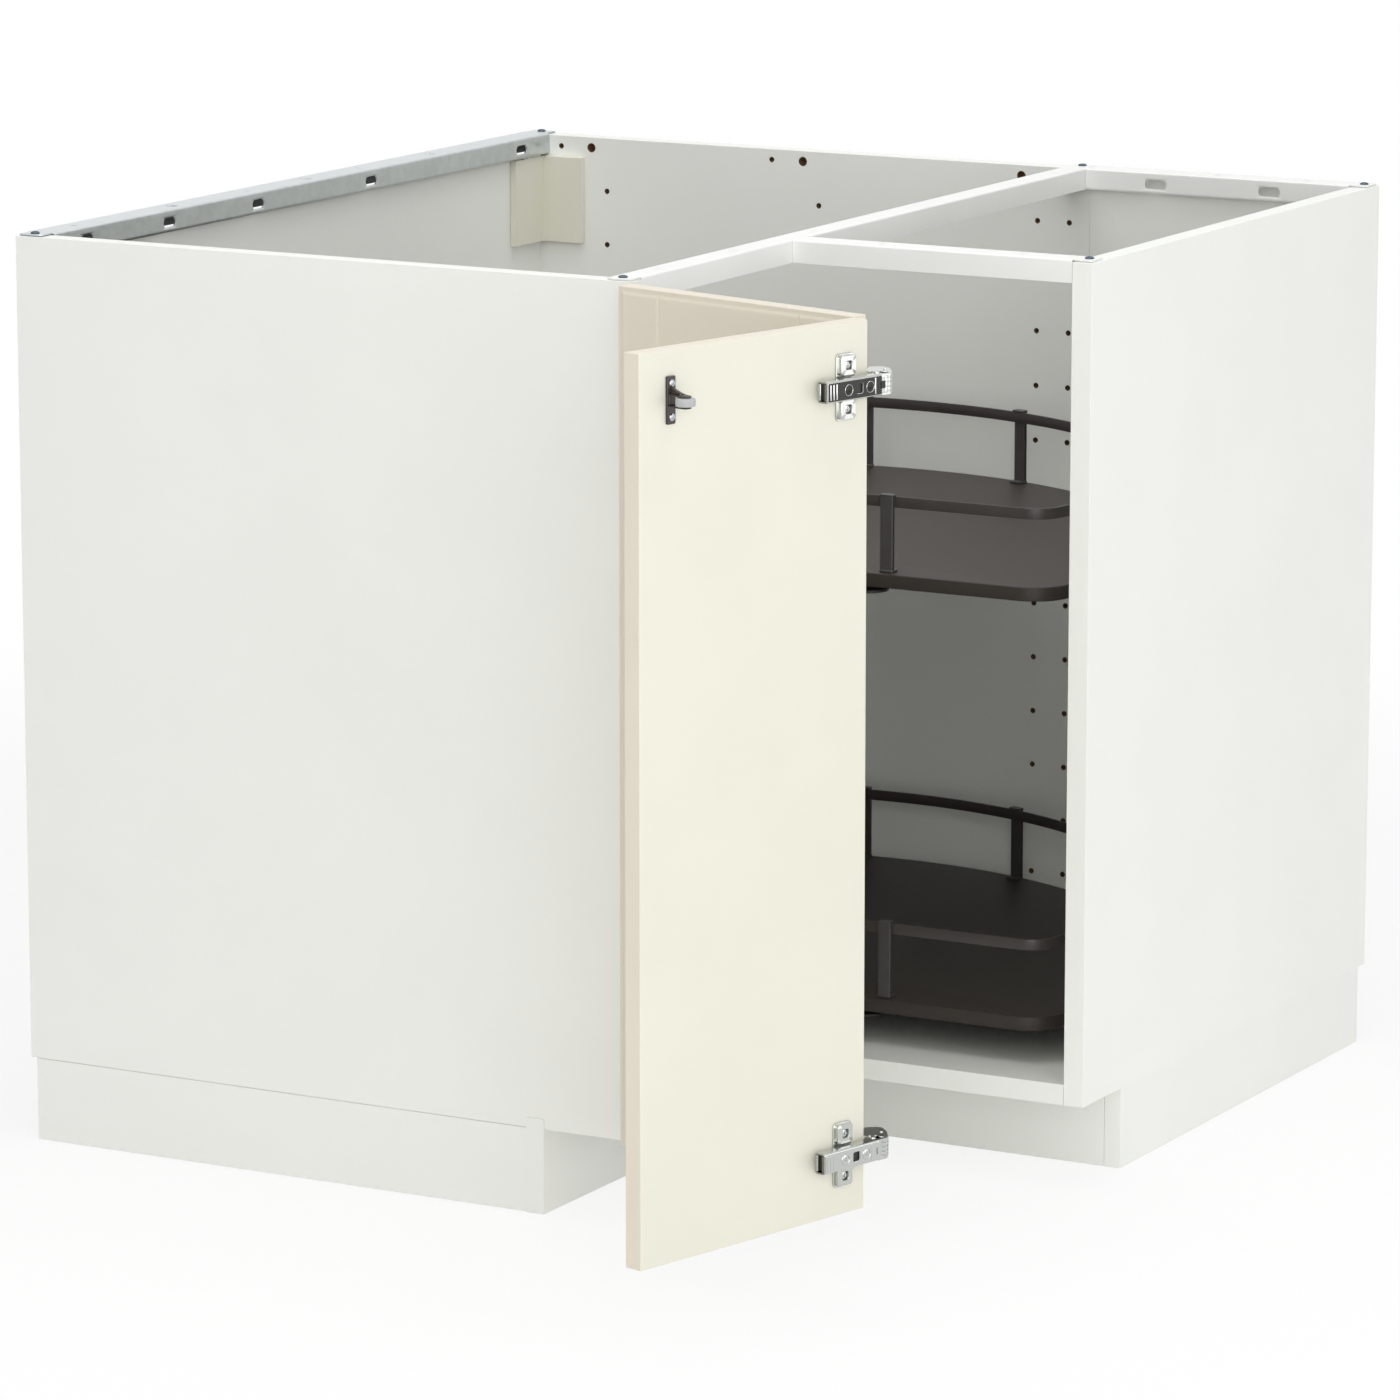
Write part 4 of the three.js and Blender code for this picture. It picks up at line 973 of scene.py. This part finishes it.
def cam_screws():
    return joined(*[about_y(cross_head(3.7, 1.0, 2.8), a, ARM_HIGH - 0.15, 0) for a in CAMS])


def knuckle():
    """The front end: two prongs and cheeks that hold a grooved barrel, with the rivets' heads
    outside them."""
    grooves = [(radius, middle + z) for middle in (-5.4, -1.8, 1.8, 5.4)
               for radius, z in ((5.25, -0.6), (4.8, -0.3), (4.8, 0.3), (5.25, 0.6))]
    barrel = turned([(4.7, -7.6), (5.25, -7.2), *grooves, (5.25, 7.2), (4.7, 7.6)], 36)
    rivet = eased_stack(round_loop(1.7, 28), round_loop(2.4, 28), -9.3, 9.3, 0.4)
    cheek = eased_stack(round_loop(5.0, 36), round_loop(5.25, 36), -0.45, 0.45, 0.25)
    parts = [shifted(barrel, (*KNUCKLE, 0)), shifted(rivet, (*KNUCKLE, 0)), shifted(rivet, (65, 6.9, 0))]
    for side in (-1, 1):
        low, high = sorted((side * 6.4, side * ARM_HALF))
        parts += [block((ARM_FRONT - 3, ARM_HIGH - 1.6, low), (KNUCKLE[0] + 1, ARM_HIGH, high), 0.7),
                  block((ARM_FRONT - 1, 5.2, side * 8.05 - 0.45), (KNUCKLE[0], 13.6, side * 8.05 + 0.45),
                        0.4),
                  shifted(cheek, (*KNUCKLE, side * 8.05))]
    return joined(*parts)


def arm_springs():
    """The strips that show in the arm's open rear end: a bright one near the plate and an olive one
    near its face."""
    return block((0.1, 5.5, -6.6), (10, 7.2, 6.6), 0.4), block((0.2, 11.3, -6.6), (12, 13.4, 6.6), 0.4)


def arm_shade_block():
    """A black block that fills the arm's inside: painted shade, which darkens what shows through the window
    and deep in the open end.
    """
    return block((3.5, ARM_LOW + 1.5, -7.0), (ARM_FRONT - 4, ARM_HIGH - 1.6, 7.0), 0.8)


def fold_link():
    """The cranked body that joins the fold hinge's arm to its cup: an outline in x and y, stacked
    in height."""
    outline = softened([(73.5, 14.6), (78.5, 12), (82, 7.5), (89, 0.7), (97, -12.6), (87, -20.4),
                        (82.4, -20.4), (82.4, -17.2), (74, -14), (66, -6), (64.5, 4), (66, 12)])
    small = outline + (outline.mean(0) - outline) * 0.04
    groove = outline + (outline.mean(0) - outline) * 0.2
    levels = [level for middle in (-4.8, -1.6, 1.6, 4.8)
              for level in ((outline, middle - 0.5), (groove, middle - 0.35), (groove, middle + 0.35),
                            (outline, middle + 0.5))]
    body = stack([(small, -8.3), (outline, -7.7), *levels, (outline, 7.7), (small, 8.3)])
    stud = turned([(1.5, 8.2), (1.5, 8.8), (1.2, 9.0)], 24)
    return joined(body, *[shifted(stud, (x, y, 0)) for x, y in ((83.8, -1.2), (71.5, 3.6), (67.7, 0.6))])


print("arm box has", len(arm_box()[0]), "points")

# %% Hinge plate, link of the side hinges, and cup
PLATE_WIDTH, PLATE_HEIGHT = 21.0, 53.0
PAD_PLACE = 17.3  # each pad's middle, above or below the arm


def recessed_pad():
    """A raised pad with a round seat for a screw: rounded rectangles that turn into circles on the
    flat top."""
    rim = pad_loop(17, 16, 3, 8)
    ring = rim / np.linalg.norm(rim, axis=1, keepdims=True)
    return stack([(rim, 1.3), (rim, 4.3), (rim * 0.975, 4.9), (rim * 0.93, 5.2),
                  (4.6 * ring, 5.2), (4.4 * ring, 5.0), (4.3 * ring, 2.0)])


def hinge_plate(x):
    """A flat plate with a recessed pad at each end, and a rib under the arm."""
    outline = pad_loop(PLATE_WIDTH, PLATE_HEIGHT, 3.5)
    inner = pad_loop(PLATE_WIDTH - 0.8, PLATE_HEIGHT - 0.8, 3.1)
    base = stack([(outline, 0.3), (outline, 1.2), (inner, 1.5)])
    return joined(about_y(base, x, 0, 0), block((x - 20, 0.3, -6), (x + 16, 4.1, 6), 1.0),
                  *pair_at(recessed_pad(), x, 0, 0, PAD_PLACE))


def hinge_screws(x):
    return joined(*pair_at(cross_head(3.5, 1.6), x, 2.3, 0, PAD_PLACE))


def side_link(z):
    """The bent bar from a side hinge's arm to its cup, as it stands with the door open, in room
    coordinates."""
    path = np.array([(593.3, -852.4), (603, -853.2), (612, -858), (618, -868), (622.5, -882),
                     (625.7, -897.8)])
    run = np.gradient(path, axis=0)
    across = np.stack([-run[:, 1], run[:, 0]], 1) / np.linalg.norm(run, axis=1, keepdims=True)
    outline = np.concatenate([path + 1.3 * across, (path - 1.3 * across)[::-1]])
    return stack([(outline, z - 4.5), (outline, z + 4.5)])


def hinge_cup(x, z):
    """A pressed pot let into the leaf, with a ring round its mouth, and two ears with a screw in
    each."""
    radius, wall, depth = 17.2, 1.1, 11.6
    pot = turned_ring([(2, -depth), (radius - 3, -depth), (radius - 0.6, -depth + 2.5), (radius, -depth + 6),
                       (radius, 0.3), (radius - wall + 0.4, 1.3), (radius - wall, 0.9),
                       (radius - wall, -depth + 6), (radius - wall - 0.8, -depth + 3.4),
                       (radius - 4, -depth + wall), (2, -depth + wall)])
    bottom = turned([(2.2, -depth + 0.05), (2.2, -depth + wall - 0.05)], 24)
    mouth = turned_ring([(16.1, 0.3), (18.6, 0.3), (18.9, 0.9), (18.4, 1.5), (16.3, 1.5)], 60)
    ear = stack([(pad_loop(17, 12, 4), 0.3), (pad_loop(17, 12, 4), 1.2), (pad_loop(16.2, 11.2, 3.6), 1.5)])
    return joined(*[about_y(part, x, 0, z) for part in (pot, bottom, mouth)],
                  *pair_at(ear, x, 0, z, 20.5), *pair_at(cross_head(3.2, 1.0), x, 1.4, z, 22))


print("hinge plate", PLATE_WIDTH, "x", PLATE_HEIGHT)

# %% Place the hinges


def in_frame(point):
    """A room place in millimetres as a place in the frame, in metres."""
    return tuple(float(value) for value in (point + TO_FRAME) * MM)


for level, z in HINGE_HEIGHTS.items():
    for kind, body in (("side", "carcass"), ("fold", "second_leaf")):
        name, there, plate_x = f"{level}_{kind}_hinge", hinge_place(kind, z), PLATE_PLACE[kind]
        # The upper fold hinge's arm cover and cam screws get a painted dark reflection: dark grey nickel in
        # place of the plain nickel.
        cover = NICKEL_WITH_PAINTED_DARK_REFLECTION if name == "upper_fold_hinge" else NICKEL
        bright_spring, olive_spring = arm_springs()
        piece(name + "_plate_pressed", there(hinge_plate(plate_x)), NICKEL, body, [name + "_plate"])
        piece(name + "_plate_screws", there(hinge_screws(plate_x)), NICKEL, body)
        piece(name + "_arm_box", outward_from(*there(arm_box())), NICKEL, body, [name + "_arm"], wall=1.3)
        # The black block inside each arm is painted shade.
        for part_name, part, finish_of_part in (
                ("cover", arm_cover(), cover), ("fittings", arm_fittings(), NICKEL),
                ("cam_screws", cam_screws(), cover), ("knuckle", knuckle(), NICKEL),
                ("bright_spring", bright_spring, NICKEL), ("olive_spring", olive_spring, OLIVE_PLASTIC),
                ("painted_shade_block", arm_shade_block(), BLACK_PLASTIC)):
            piece(f"{name}_arm_{part_name}", there(part), finish_of_part, body)
    start, end = (in_frame(on_folding_leaf((np.array([[x + FOLD_REAR, y, z]]), []))[0][0])
                  for x, y in ((84, -20), (76, 2)))
    piece(f"{level}_fold_hinge_link", hinge_place("fold", z)(fold_link()), NICKEL, None,
          blend=("first_leaf", "second_leaf", start, end))
    start, end = (in_frame(np.array([x, y, z])) for x, y in ((606, -854.5), (622.5, -882)))
    piece(f"{level}_side_hinge_link", side_link(z), NICKEL, None,
          blend=("carcass", "first_leaf", start, end), ease=0.3)
    for kind, x in (("side", CUP_INSET), ("fold", LEAF_LENGTH - CUP_INSET)):
        name = f"{level}_{kind}_hinge_cup"
        piece(name + "_pressed", on_hinged_leaf(hinge_cup(x, z)), NICKEL, "first_leaf", [name])
print("four hinges placed")

# %% [markdown]
# ## Roller catch
# A small bracket near the free edge of the folding leaf holds a roller that runs in behind the
# front rail and keeps the door shut. Its upper arm has a deep root, its lower arm is a thin tongue.

# %% Roller catch
CATCH_X = 33.0
CATCH_WIDTH = 9.0
catch_low, catch_high = heights("roller_bracket")
roller_low, roller_high = heights("catch_roller")
catch_middle = (catch_low + catch_high) / 2
ROLLER_OUT = 17.0
ROLLER_RADIUS = 7.8
ARM_GAP = 0.6


def tongue(low, high, root_half, tip_half):
    """A flat arm from the plate to round the roller's pin: an outline in x and y, stacked in
    height."""
    tip = arc(np.linspace(0, math.pi, 12), tip_half, (0, ROLLER_OUT))
    outline = np.concatenate([[[root_half, 1.8]], tip, [[-root_half, 1.8]]])
    small = outline * 0.97 + [0, 0.25]
    return shifted(eased_stack(small, outline, low, high, 0.3), (CATCH_X, 0, 0))


def gusset(half):
    """The rib over the upper arm: deep at the plate, and free of the arm near the tip, where a slit
    is left."""
    line = [(1.8, 6.8), (7.5, 4.6), (13, 2.7), (18, 1.9), (19, 1.5), (18, 0.9),
            (16.5, 1.3), (13, 1.9), (10.5, 2.0), (9, 1.0), (8, 0.4), (1.8, 0.3)]
    loop = np.array(line) + [0, roller_high + ARM_GAP]
    points, faces = stack([(loop, -half), (loop, half)])
    return points[:, [2, 0, 1]] + [CATCH_X, 0, 0], faces


catch_height = catch_high - catch_low
plate = stack([(pad_loop(CATCH_WIDTH, catch_height, 1), 0.3), (pad_loop(CATCH_WIDTH, catch_height, 1), 2.1),
               (pad_loop(CATCH_WIDTH - 0.8, catch_height - 0.8, 0.8), 2.5)])
root = block((CATCH_X - 3.6, 1.8, roller_low - 0.4), (CATCH_X + 3.6, 3.6, roller_high + 0.8), 0.8)
bracket = joined(about_y(plate, CATCH_X, 0, catch_middle), root, gusset(1.3),
                 tongue(roller_high + ARM_GAP, roller_high + ARM_GAP + 1.1, CATCH_WIDTH / 2, 4.6),
                 tongue(roller_low - ARM_GAP - 1.1, roller_low - ARM_GAP, CATCH_WIDTH / 2, 4.6))
piece("roller_bracket_moulded", on_folding_leaf(bracket), BRACKET_PLASTIC, "second_leaf", ["roller_bracket"],
      ease=0.2)
half_roller = [(2.0, 0.2), (3.4, -0.3), (3.8, 0), (6.6, 0), (7.4, 0.3), (ROLLER_RADIUS, 1.2)]
roller = turned_ring([(radius, roller_low + rise) for radius, rise in half_roller]
                     + [(radius, roller_high - rise) for radius, rise in half_roller[::-1]], 64)
pin = eased_stack(round_loop(1.2, 24), round_loop(1.5, 24), roller_low - ARM_GAP - 1.8,
                  roller_high + ARM_GAP + 2.0, 0.3)
for name, part, finish_of_part, body, node in (
        ("catch_roller_moulded", roller, ROLLER_PLASTIC, "roller", "catch_roller"),
        ("roller_pin_turned", pin, ZINC, "second_leaf", "roller_pin")):
    piece(name, on_folding_leaf(shifted(part, (CATCH_X, ROLLER_OUT, 0))), finish_of_part, body, [node])
screws = joined(*pair_at(cross_head(2.9, 1.5), CATCH_X, 2.5, catch_middle, 13))
piece("catch_screws", on_folding_leaf(screws), ZINC, "second_leaf")
print("roller at", round((roller_low + roller_high) / 2, 1))

# %% [markdown]
# ## Trays
# A tray is a three-quarter disc with one square notch, so that it clears the door when it stands in
# its home position. Every outline on it, the board's edge and both faces of the gallery band, is
# the same curve moved in by some distance. So the curve is one function of two insets, one for the
# round edge and one for the notch's.

# %% Tray outline
POST = np.array([440.0, -440.0])
TRAY_RADIUS = 393.2
NOTCH = 113.6
OUTER_CORNER, INNER_CORNER = 33.6, 48.0
ARC_STEPS, CORNER_STEPS = 180, 16


def tray_loop(arc_inset, edge_inset):
    """Points round the outline about the post: two straight notch edges, the big arc, and three
    corner arcs."""
    radius, notch = TRAY_RADIUS - arc_inset, NOTCH - edge_inset
    corner, inner = OUTER_CORNER - arc_inset, INNER_CORNER + edge_inset
    across = math.sqrt((radius - corner) ** 2 - (notch - corner) ** 2)
    lean = math.atan2(corner - notch, across)

    return np.concatenate([
        arc(np.linspace(-math.pi / 2, lean, CORNER_STEPS), corner, (across, corner - notch))[:-1],
        arc(np.linspace(lean, 1.5 * math.pi - lean, ARC_STEPS), radius),
        arc(np.linspace(1.5 * math.pi - lean, 2 * math.pi, CORNER_STEPS), corner,
            (notch - corner, -across))[1:],
        arc(np.linspace(math.pi, math.pi / 2, CORNER_STEPS), inner, (notch + inner, -notch - inner)),
    ])


def hub_loop(radius):
    """A circle with one point in the direction of each outline point, so that a flat face can run
    between them."""
    outline = tray_loop(0, 0)
    return radius * outline / np.linalg.norm(outline, axis=1, keepdims=True)


print("tray outline:", len(tray_loop(0, 0)), "points")

# %% Tray boards
THICKNESS = 12.3
HOLE = 19.0
EDGE_RADIUS = 1.2


def tray_board(top):
    """The board as one ring of loops: up the hole, out over the top, round the edge, and back
    underneath."""
    low = top - THICKNESS
    turn = np.linspace(0, math.pi / 2, 4)
    inset, drop = EDGE_RADIUS * (1 - np.sin(turn)), EDGE_RADIUS * (1 - np.cos(turn))
    upper = [(tray_loop(i, i), top - d) for i, d in zip(inset, drop)]
    lower = [(tray_loop(d, d), low + i) for i, d in zip(inset, drop)]
    return stack([(hub_loop(HOLE), low), (hub_loop(HOLE), top), *upper, *lower], ring=True)


BAND_HEIGHT = 9.6
BAND = 2.2
GALLERY = 66.0
ARC_INSET, EDGE_INSET = 8.6, 10.5


def gallery_band(top):
    """The band's section, a strip with rounded edges, carried round the tray as loops with
    different insets."""
    ease = 0.35
    low, high = top + GALLERY - BAND_HEIGHT, top + GALLERY
    section = [(0, low + ease), (0, high - ease), (0.1, high - 0.1), (ease, high), (BAND - ease, high),
               (BAND - 0.1, high - 0.1), (BAND, high - ease), (BAND, low + ease), (BAND - 0.1, low + 0.1),
               (BAND - ease, low), (ease, low), (0.1, low + 0.1)]
    return stack([(tray_loop(ARC_INSET + inset, EDGE_INSET + inset), z) for inset, z in section], ring=True)


POST_WIDTH, POST_DEPTH = 12.0, 4.4
POST_FOOT = 6.5  # how far the foot reaches inwards
ARC_POSTS = [25, 72.2, 97.3, 135, 172.7, 197.8, 245]  # degrees round the post
EDGE_POST = 223.3  # along each notch edge
SLOT_NEAR, SLOT_FAR, SLOT_IN = 1.1, 2.7, 1.5  # the slot down each side of a gallery post


def slab(x0, x1, half_width, low, high, radius):
    """A plate with rounded upright corners and eased edges, between two places along x."""
    centre = [(x0 + x1) / 2, 0]
    rim = pad_loop(x1 - x0, 2 * half_width, radius) + centre
    inner = pad_loop(x1 - x0 - 0.7, 2 * half_width - 0.7, radius * 0.7) + centre
    return eased_stack(inner, rim, low, high, 0.35)


def gallery_post(top):
    """One post at the origin, its outside towards +x: an upright with a slot down each side, a foot
    and a cap."""
    half, ease = POST_WIDTH / 2, 0.6
    side = np.array([(0.2, half), (SLOT_NEAR, half), (SLOT_NEAR, half - SLOT_IN), (SLOT_FAR, half - SLOT_IN),
                     (SLOT_FAR, half), (POST_DEPTH - ease, half), (POST_DEPTH, half - ease)])
    outline = np.concatenate([side * [1, -1], side[::-1]])
    upright = stack([(outline, top + 0.3), (outline, top + GALLERY + 0.6)])
    cap = slab(-BAND - 1.1, POST_DEPTH + 0.3, half + 0.3, top + GALLERY + 0.2, top + GALLERY + 1.8, 1.0)
    foot = slab(-POST_FOOT, POST_DEPTH + 0.5, half + 0.4, top + 0.1, top + 2.3, 1.2)
    return joined(upright, cap, foot)


def post_places():
    """(x, y, heading in degrees) of each gallery post about the centre post."""
    reach = TRAY_RADIUS - ARC_INSET
    places = [(*place, degrees) for place, degrees in zip(arc(np.radians(ARC_POSTS), reach), ARC_POSTS)]
    return [*places, (EDGE_POST, EDGE_INSET - NOTCH, -90), (NOTCH - EDGE_INSET, -EDGE_POST, 0)]


def headed(part, x, y, degrees):
    """The part turned to a heading and moved to (x, y) from the centre post."""
    cosine, sine = math.cos(math.radians(degrees)), math.sin(math.radians(degrees))
    u, v, z = part[0].T
    return np.stack([POST[0] + x + u * cosine - v * sine, POST[1] + y + u * sine + v * cosine, z], 1), part[1]


for level in ("upper", "lower"):
    body, board_top = f"{level}_tray", heights(f"{level}_tray_board")[1]
    for name, part, finish_of_part, node in (("tray_foiled", tray_board(board_top), TRAY_FOIL, "tray_board"),
                                             ("gallery_band", gallery_band(board_top), DARK_COAT, "gallery")):
        piece(f"{level}_{name}", shifted(part, (*POST, 0)), finish_of_part, body, [f"{level}_{node}"])
    for number, (x, y, heading) in enumerate(post_places(), 1):
        piece(f"{level}_gallery_post_{number}", headed(gallery_post(board_top), x, y, heading), POST_PLASTIC,
              body)
print(len(post_places()), "gallery posts on each tray")

# %% [markdown]
# ## The carousel's centre
# The trays hang on moulded hubs that turn on a steel post. Each hub rests on a ring that slides on
# a collar clamped to the post. All of these are turned shapes.

# %% Centre post, flange, hubs, rings and collars
POST_RADIUS = 12.5
FLANGE_SCREWS = 37.0  # their distance from the post's middle
HUB_SLEEVE = 13.1  # inner radius of the hubs and rings, which slide on the post
post_low, post_high = heights("centre_post")
cap_low, floor = heights("post_cap")[0], heights("post_flange")[0]
tube = [(11.9, post_low), (POST_RADIUS, post_low + 0.6), (POST_RADIUS, post_high - 0.6), (11.9, post_high)]
turned_piece("centre_post_tube", tube, 64, POST, DARK_COAT, "carcass", ["centre_post"])
cap = [(radius, cap_low + rise) for radius, rise in ((13.5, 0), (13.5, 2.2), (12.6, 3.6), (9, 4.9), (3, 5.2))]
turned_piece("post_cap_moulded", cap, 48, POST, BLACK_PLASTIC, "carcass", ["post_cap"])
flange_section = [(13.1, 0), (45.2, 0), (46, 0.8), (46, 1.8), (45.2, 2.5), (24, 3.4), (21, 3.9), (19, 5),
                  (13.1, 5)]
turned_piece("post_flange_pressed", [(radius, floor + rise) for radius, rise in flange_section], 64, POST,
             DARK_COAT, "carcass", ["post_flange"], turned_ring)
flange_screws = [shifted(cross_head(4.1, 2.0), (*place, floor + 2.7))
                 for place in arc(np.radians([45, 135, 225, 315]), FLANGE_SCREWS, POST)]
piece("flange_screws", joined(*flange_screws), ZINC, "carcass")


def bearing(name, node, inner, finish, body):
    """A ring as large as its node, with both outer edges eased."""
    (left, _, low), (right, _, high) = node_box(node)
    outer = (right - left) / 2
    section = [(inner, low), (outer - 0.4, low), (outer, low + 0.4), (outer, high - 0.4), (outer - 0.4, high),
               (inner, high)]
    turned_piece(name, section, 64, POST, finish, body, [node], turned_ring)


for level in ("upper", "lower"):
    body = f"{level}_tray"
    low, high = heights(f"{level}_tray_hub")
    under = high - 5 - THICKNESS
    hub = [(HUB_SLEEVE, low), (19.4, low), (20, low + 0.6), (24, under - 5), (56.5, under - 3.6),
           (58, under - 2.8), (58, under - 0.3), (18.6, under - 0.3), (18.6, high - 4.7), (25.4, high - 4.7),
           (26, high - 4.1), (24, high - 0.8), (23, high), (HUB_SLEEVE, high)]
    turned_piece(f"{level}_hub_moulded", hub, 64, POST, BLACK_PLASTIC, body, [f"{level}_tray_hub"],
                 turned_ring)
    bearing(f"{level}_ring_turned", f"{level}_bearing_ring", HUB_SLEEVE, ROLLER_PLASTIC, body)
    bearing(f"{level}_collar_turned", f"{level}_post_collar", 12.85, ZINC, "carcass")
    low, high = heights(f"{level}_tray_disc")
    disc = [(15.6, low), (16.6, low + 0.3), (17, low + 1.0), (17, low + 2.6), (16.2, low + 3.2),
            (8.4, low + 4.0), (8, low + 4.6), (8, high)]
    turned_piece(f"{level}_disc_moulded", disc, 56, node_middle(f"{level}_tray_disc"), BLACK_PLASTIC, body,
                 [f"{level}_tray_disc"])
print("post from", round(post_low, 1), "to", round(post_high, 1))

# %% [markdown]
# ## Stage, light and camera
# The floor is a wide pale sheet that keeps the cabinet's soft shadow. The world is an even studio
# white, and six large lamps, above, in front and to the right, give the sides their different
# shades: the right side and the top are the brightest. The camera stands to the right in front,
# looks a little down, and has a long lens.

# %% Floor
SHADOW_FADE = 0.8  # how much of the floor's shadow white hides beside the cabinet
FADE_START, FADE_END = 0.7, 1.9  # metres from the middle, where the hidden share grows to the whole
FLOOR_SIZE, FLOOR_DROP = 30.0, 0.0005
floor_mesh = bpy.data.meshes.new("studio_floor")
floor_mesh.from_pydata([(x * FLOOR_SIZE, y * FLOOR_SIZE, -FLOOR_DROP)
                        for x, y in ((-1, -1), (1, -1), (1, 1), (-1, 1))], [], [[0, 1, 2, 3]])
studio_floor = bpy.data.objects.new("studio_floor", floor_mesh)
bpy.context.scene.collection.objects.link(studio_floor)
floor_material, tree, shader, place = new_finish("white_studio_floor", "FAFAFA", {"Roughness": 0.9})


def seen_by_eye(tree):
    """1 for rays from the camera and for rays that a surface mirrors or lets through, else 0."""
    ray = add(tree, "LightPath")
    seen = add(tree, "Math", {0: ray.outputs["Is Camera Ray"], 1: ray.outputs["Is Glossy Ray"]},
               operation="MAXIMUM")
    return add(tree, "Math", {0: seen.outputs[0], 1: ray.outputs["Is Transmission Ray"]},
               operation="MAXIMUM").outputs[0]


reach = add(tree, "VectorMath", {0: place}, operation="LENGTH")
whiteness = add(tree, "MapRange", {"Value": reach.outputs["Value"], "From Min": FADE_START,
                                   "From Max": FADE_END, "To Min": SHADOW_FADE, "To Max": 1.0},
                interpolation_type="SMOOTHSTEP")
share = add(tree, "Math", {0: whiteness.outputs[0], 1: seen_by_eye(tree)}, operation="MULTIPLY")
white = add(tree, "Emission", {"Color": (1, 1, 1, 1), "Strength": 1.0})
mixed = add(tree, "MixShader", {0: share.outputs[0], 1: shader.outputs[0], 2: white.outputs[0]})
tree.links.new(mixed.outputs[0], tree.nodes["Material Output"].inputs["Surface"])
floor_mesh.materials.append(floor_material)

# %% World and lamps
world = bpy.data.worlds.new("studio")
bpy.context.scene.world = world
world.use_nodes = True
tree = world.node_tree
tree.nodes.clear()
SOFT_LIGHT = 0.25  # the world's strength for light that falls on the cabinet
level = add(tree, "Mix", {"Factor": seen_by_eye(tree), "A": SOFT_LIGHT, "B": 1.0}, data_type="FLOAT")
sky = add(tree, "Background", {"Color": (1, 1, 1, 1), "Strength": level.outputs[0]})
tree.links.new(sky.outputs[0], add(tree, "OutputWorld").inputs["Surface"])


LAMP_SIZE = 3.2
LAMPS = {"top": ((0.3, -0.4, 3.4), 62), "front": ((2.0, -4.4, 0.7), 35), "high_front": ((1.4, -4.0, 2.6), 30),
         "front_right": ((3.4, -3.4, 0.9), 40), "side": ((4.6, 0.3, 0.9), 36), "key": ((4.0, -1.8, 3.6), 18)}


def lamp(name, place, target, power):
    """A square area lamp, in metres and watts, turned to face its target."""
    data = bpy.data.lights.new(name, "AREA")
    data.shape = "SQUARE"
    data.size = LAMP_SIZE
    data.energy = power
    made = bpy.data.objects.new(name, data)
    made.location = place
    made.rotation_euler = (Vector(target) - Vector(place)).to_track_quat("-Z", "Y").to_euler()
    bpy.context.scene.collection.objects.link(made)


for name, (lamp_place, power) in LAMPS.items():
    lamp(f"{name}_softbox", lamp_place, (cad_box[0] + cad_box[1]) / 2, power)
print("lamps:", len(bpy.data.lights))

# %% Camera
camera = bpy.data.cameras.new("product_camera")
PHOTO_SIDE = 1400
FOCAL_PIXELS = 6919.0
camera.sensor_width = 36.0
camera.lens = camera.sensor_width * FOCAL_PIXELS / PHOTO_SIDE
camera_object = bpy.data.objects.new("product_camera", camera)
CAMERA_PLACE = np.array([3322.2, -5732.9, 1558.2])  # in the room, in millimetres
YAW, PITCH = math.radians(28.71), math.radians(11.289)
camera_object.location = (CAMERA_PLACE + TO_FRAME) * MM
camera_object.rotation_euler = (math.pi / 2 - PITCH, 0, YAW)
camera.clip_start, camera.clip_end = 0.5, 60
bpy.context.scene.collection.objects.link(camera_object)
bpy.context.scene.camera = camera_object
bpy.context.scene.view_settings.view_transform = "Standard"
print("lens", round(camera.lens, 1), "mm")
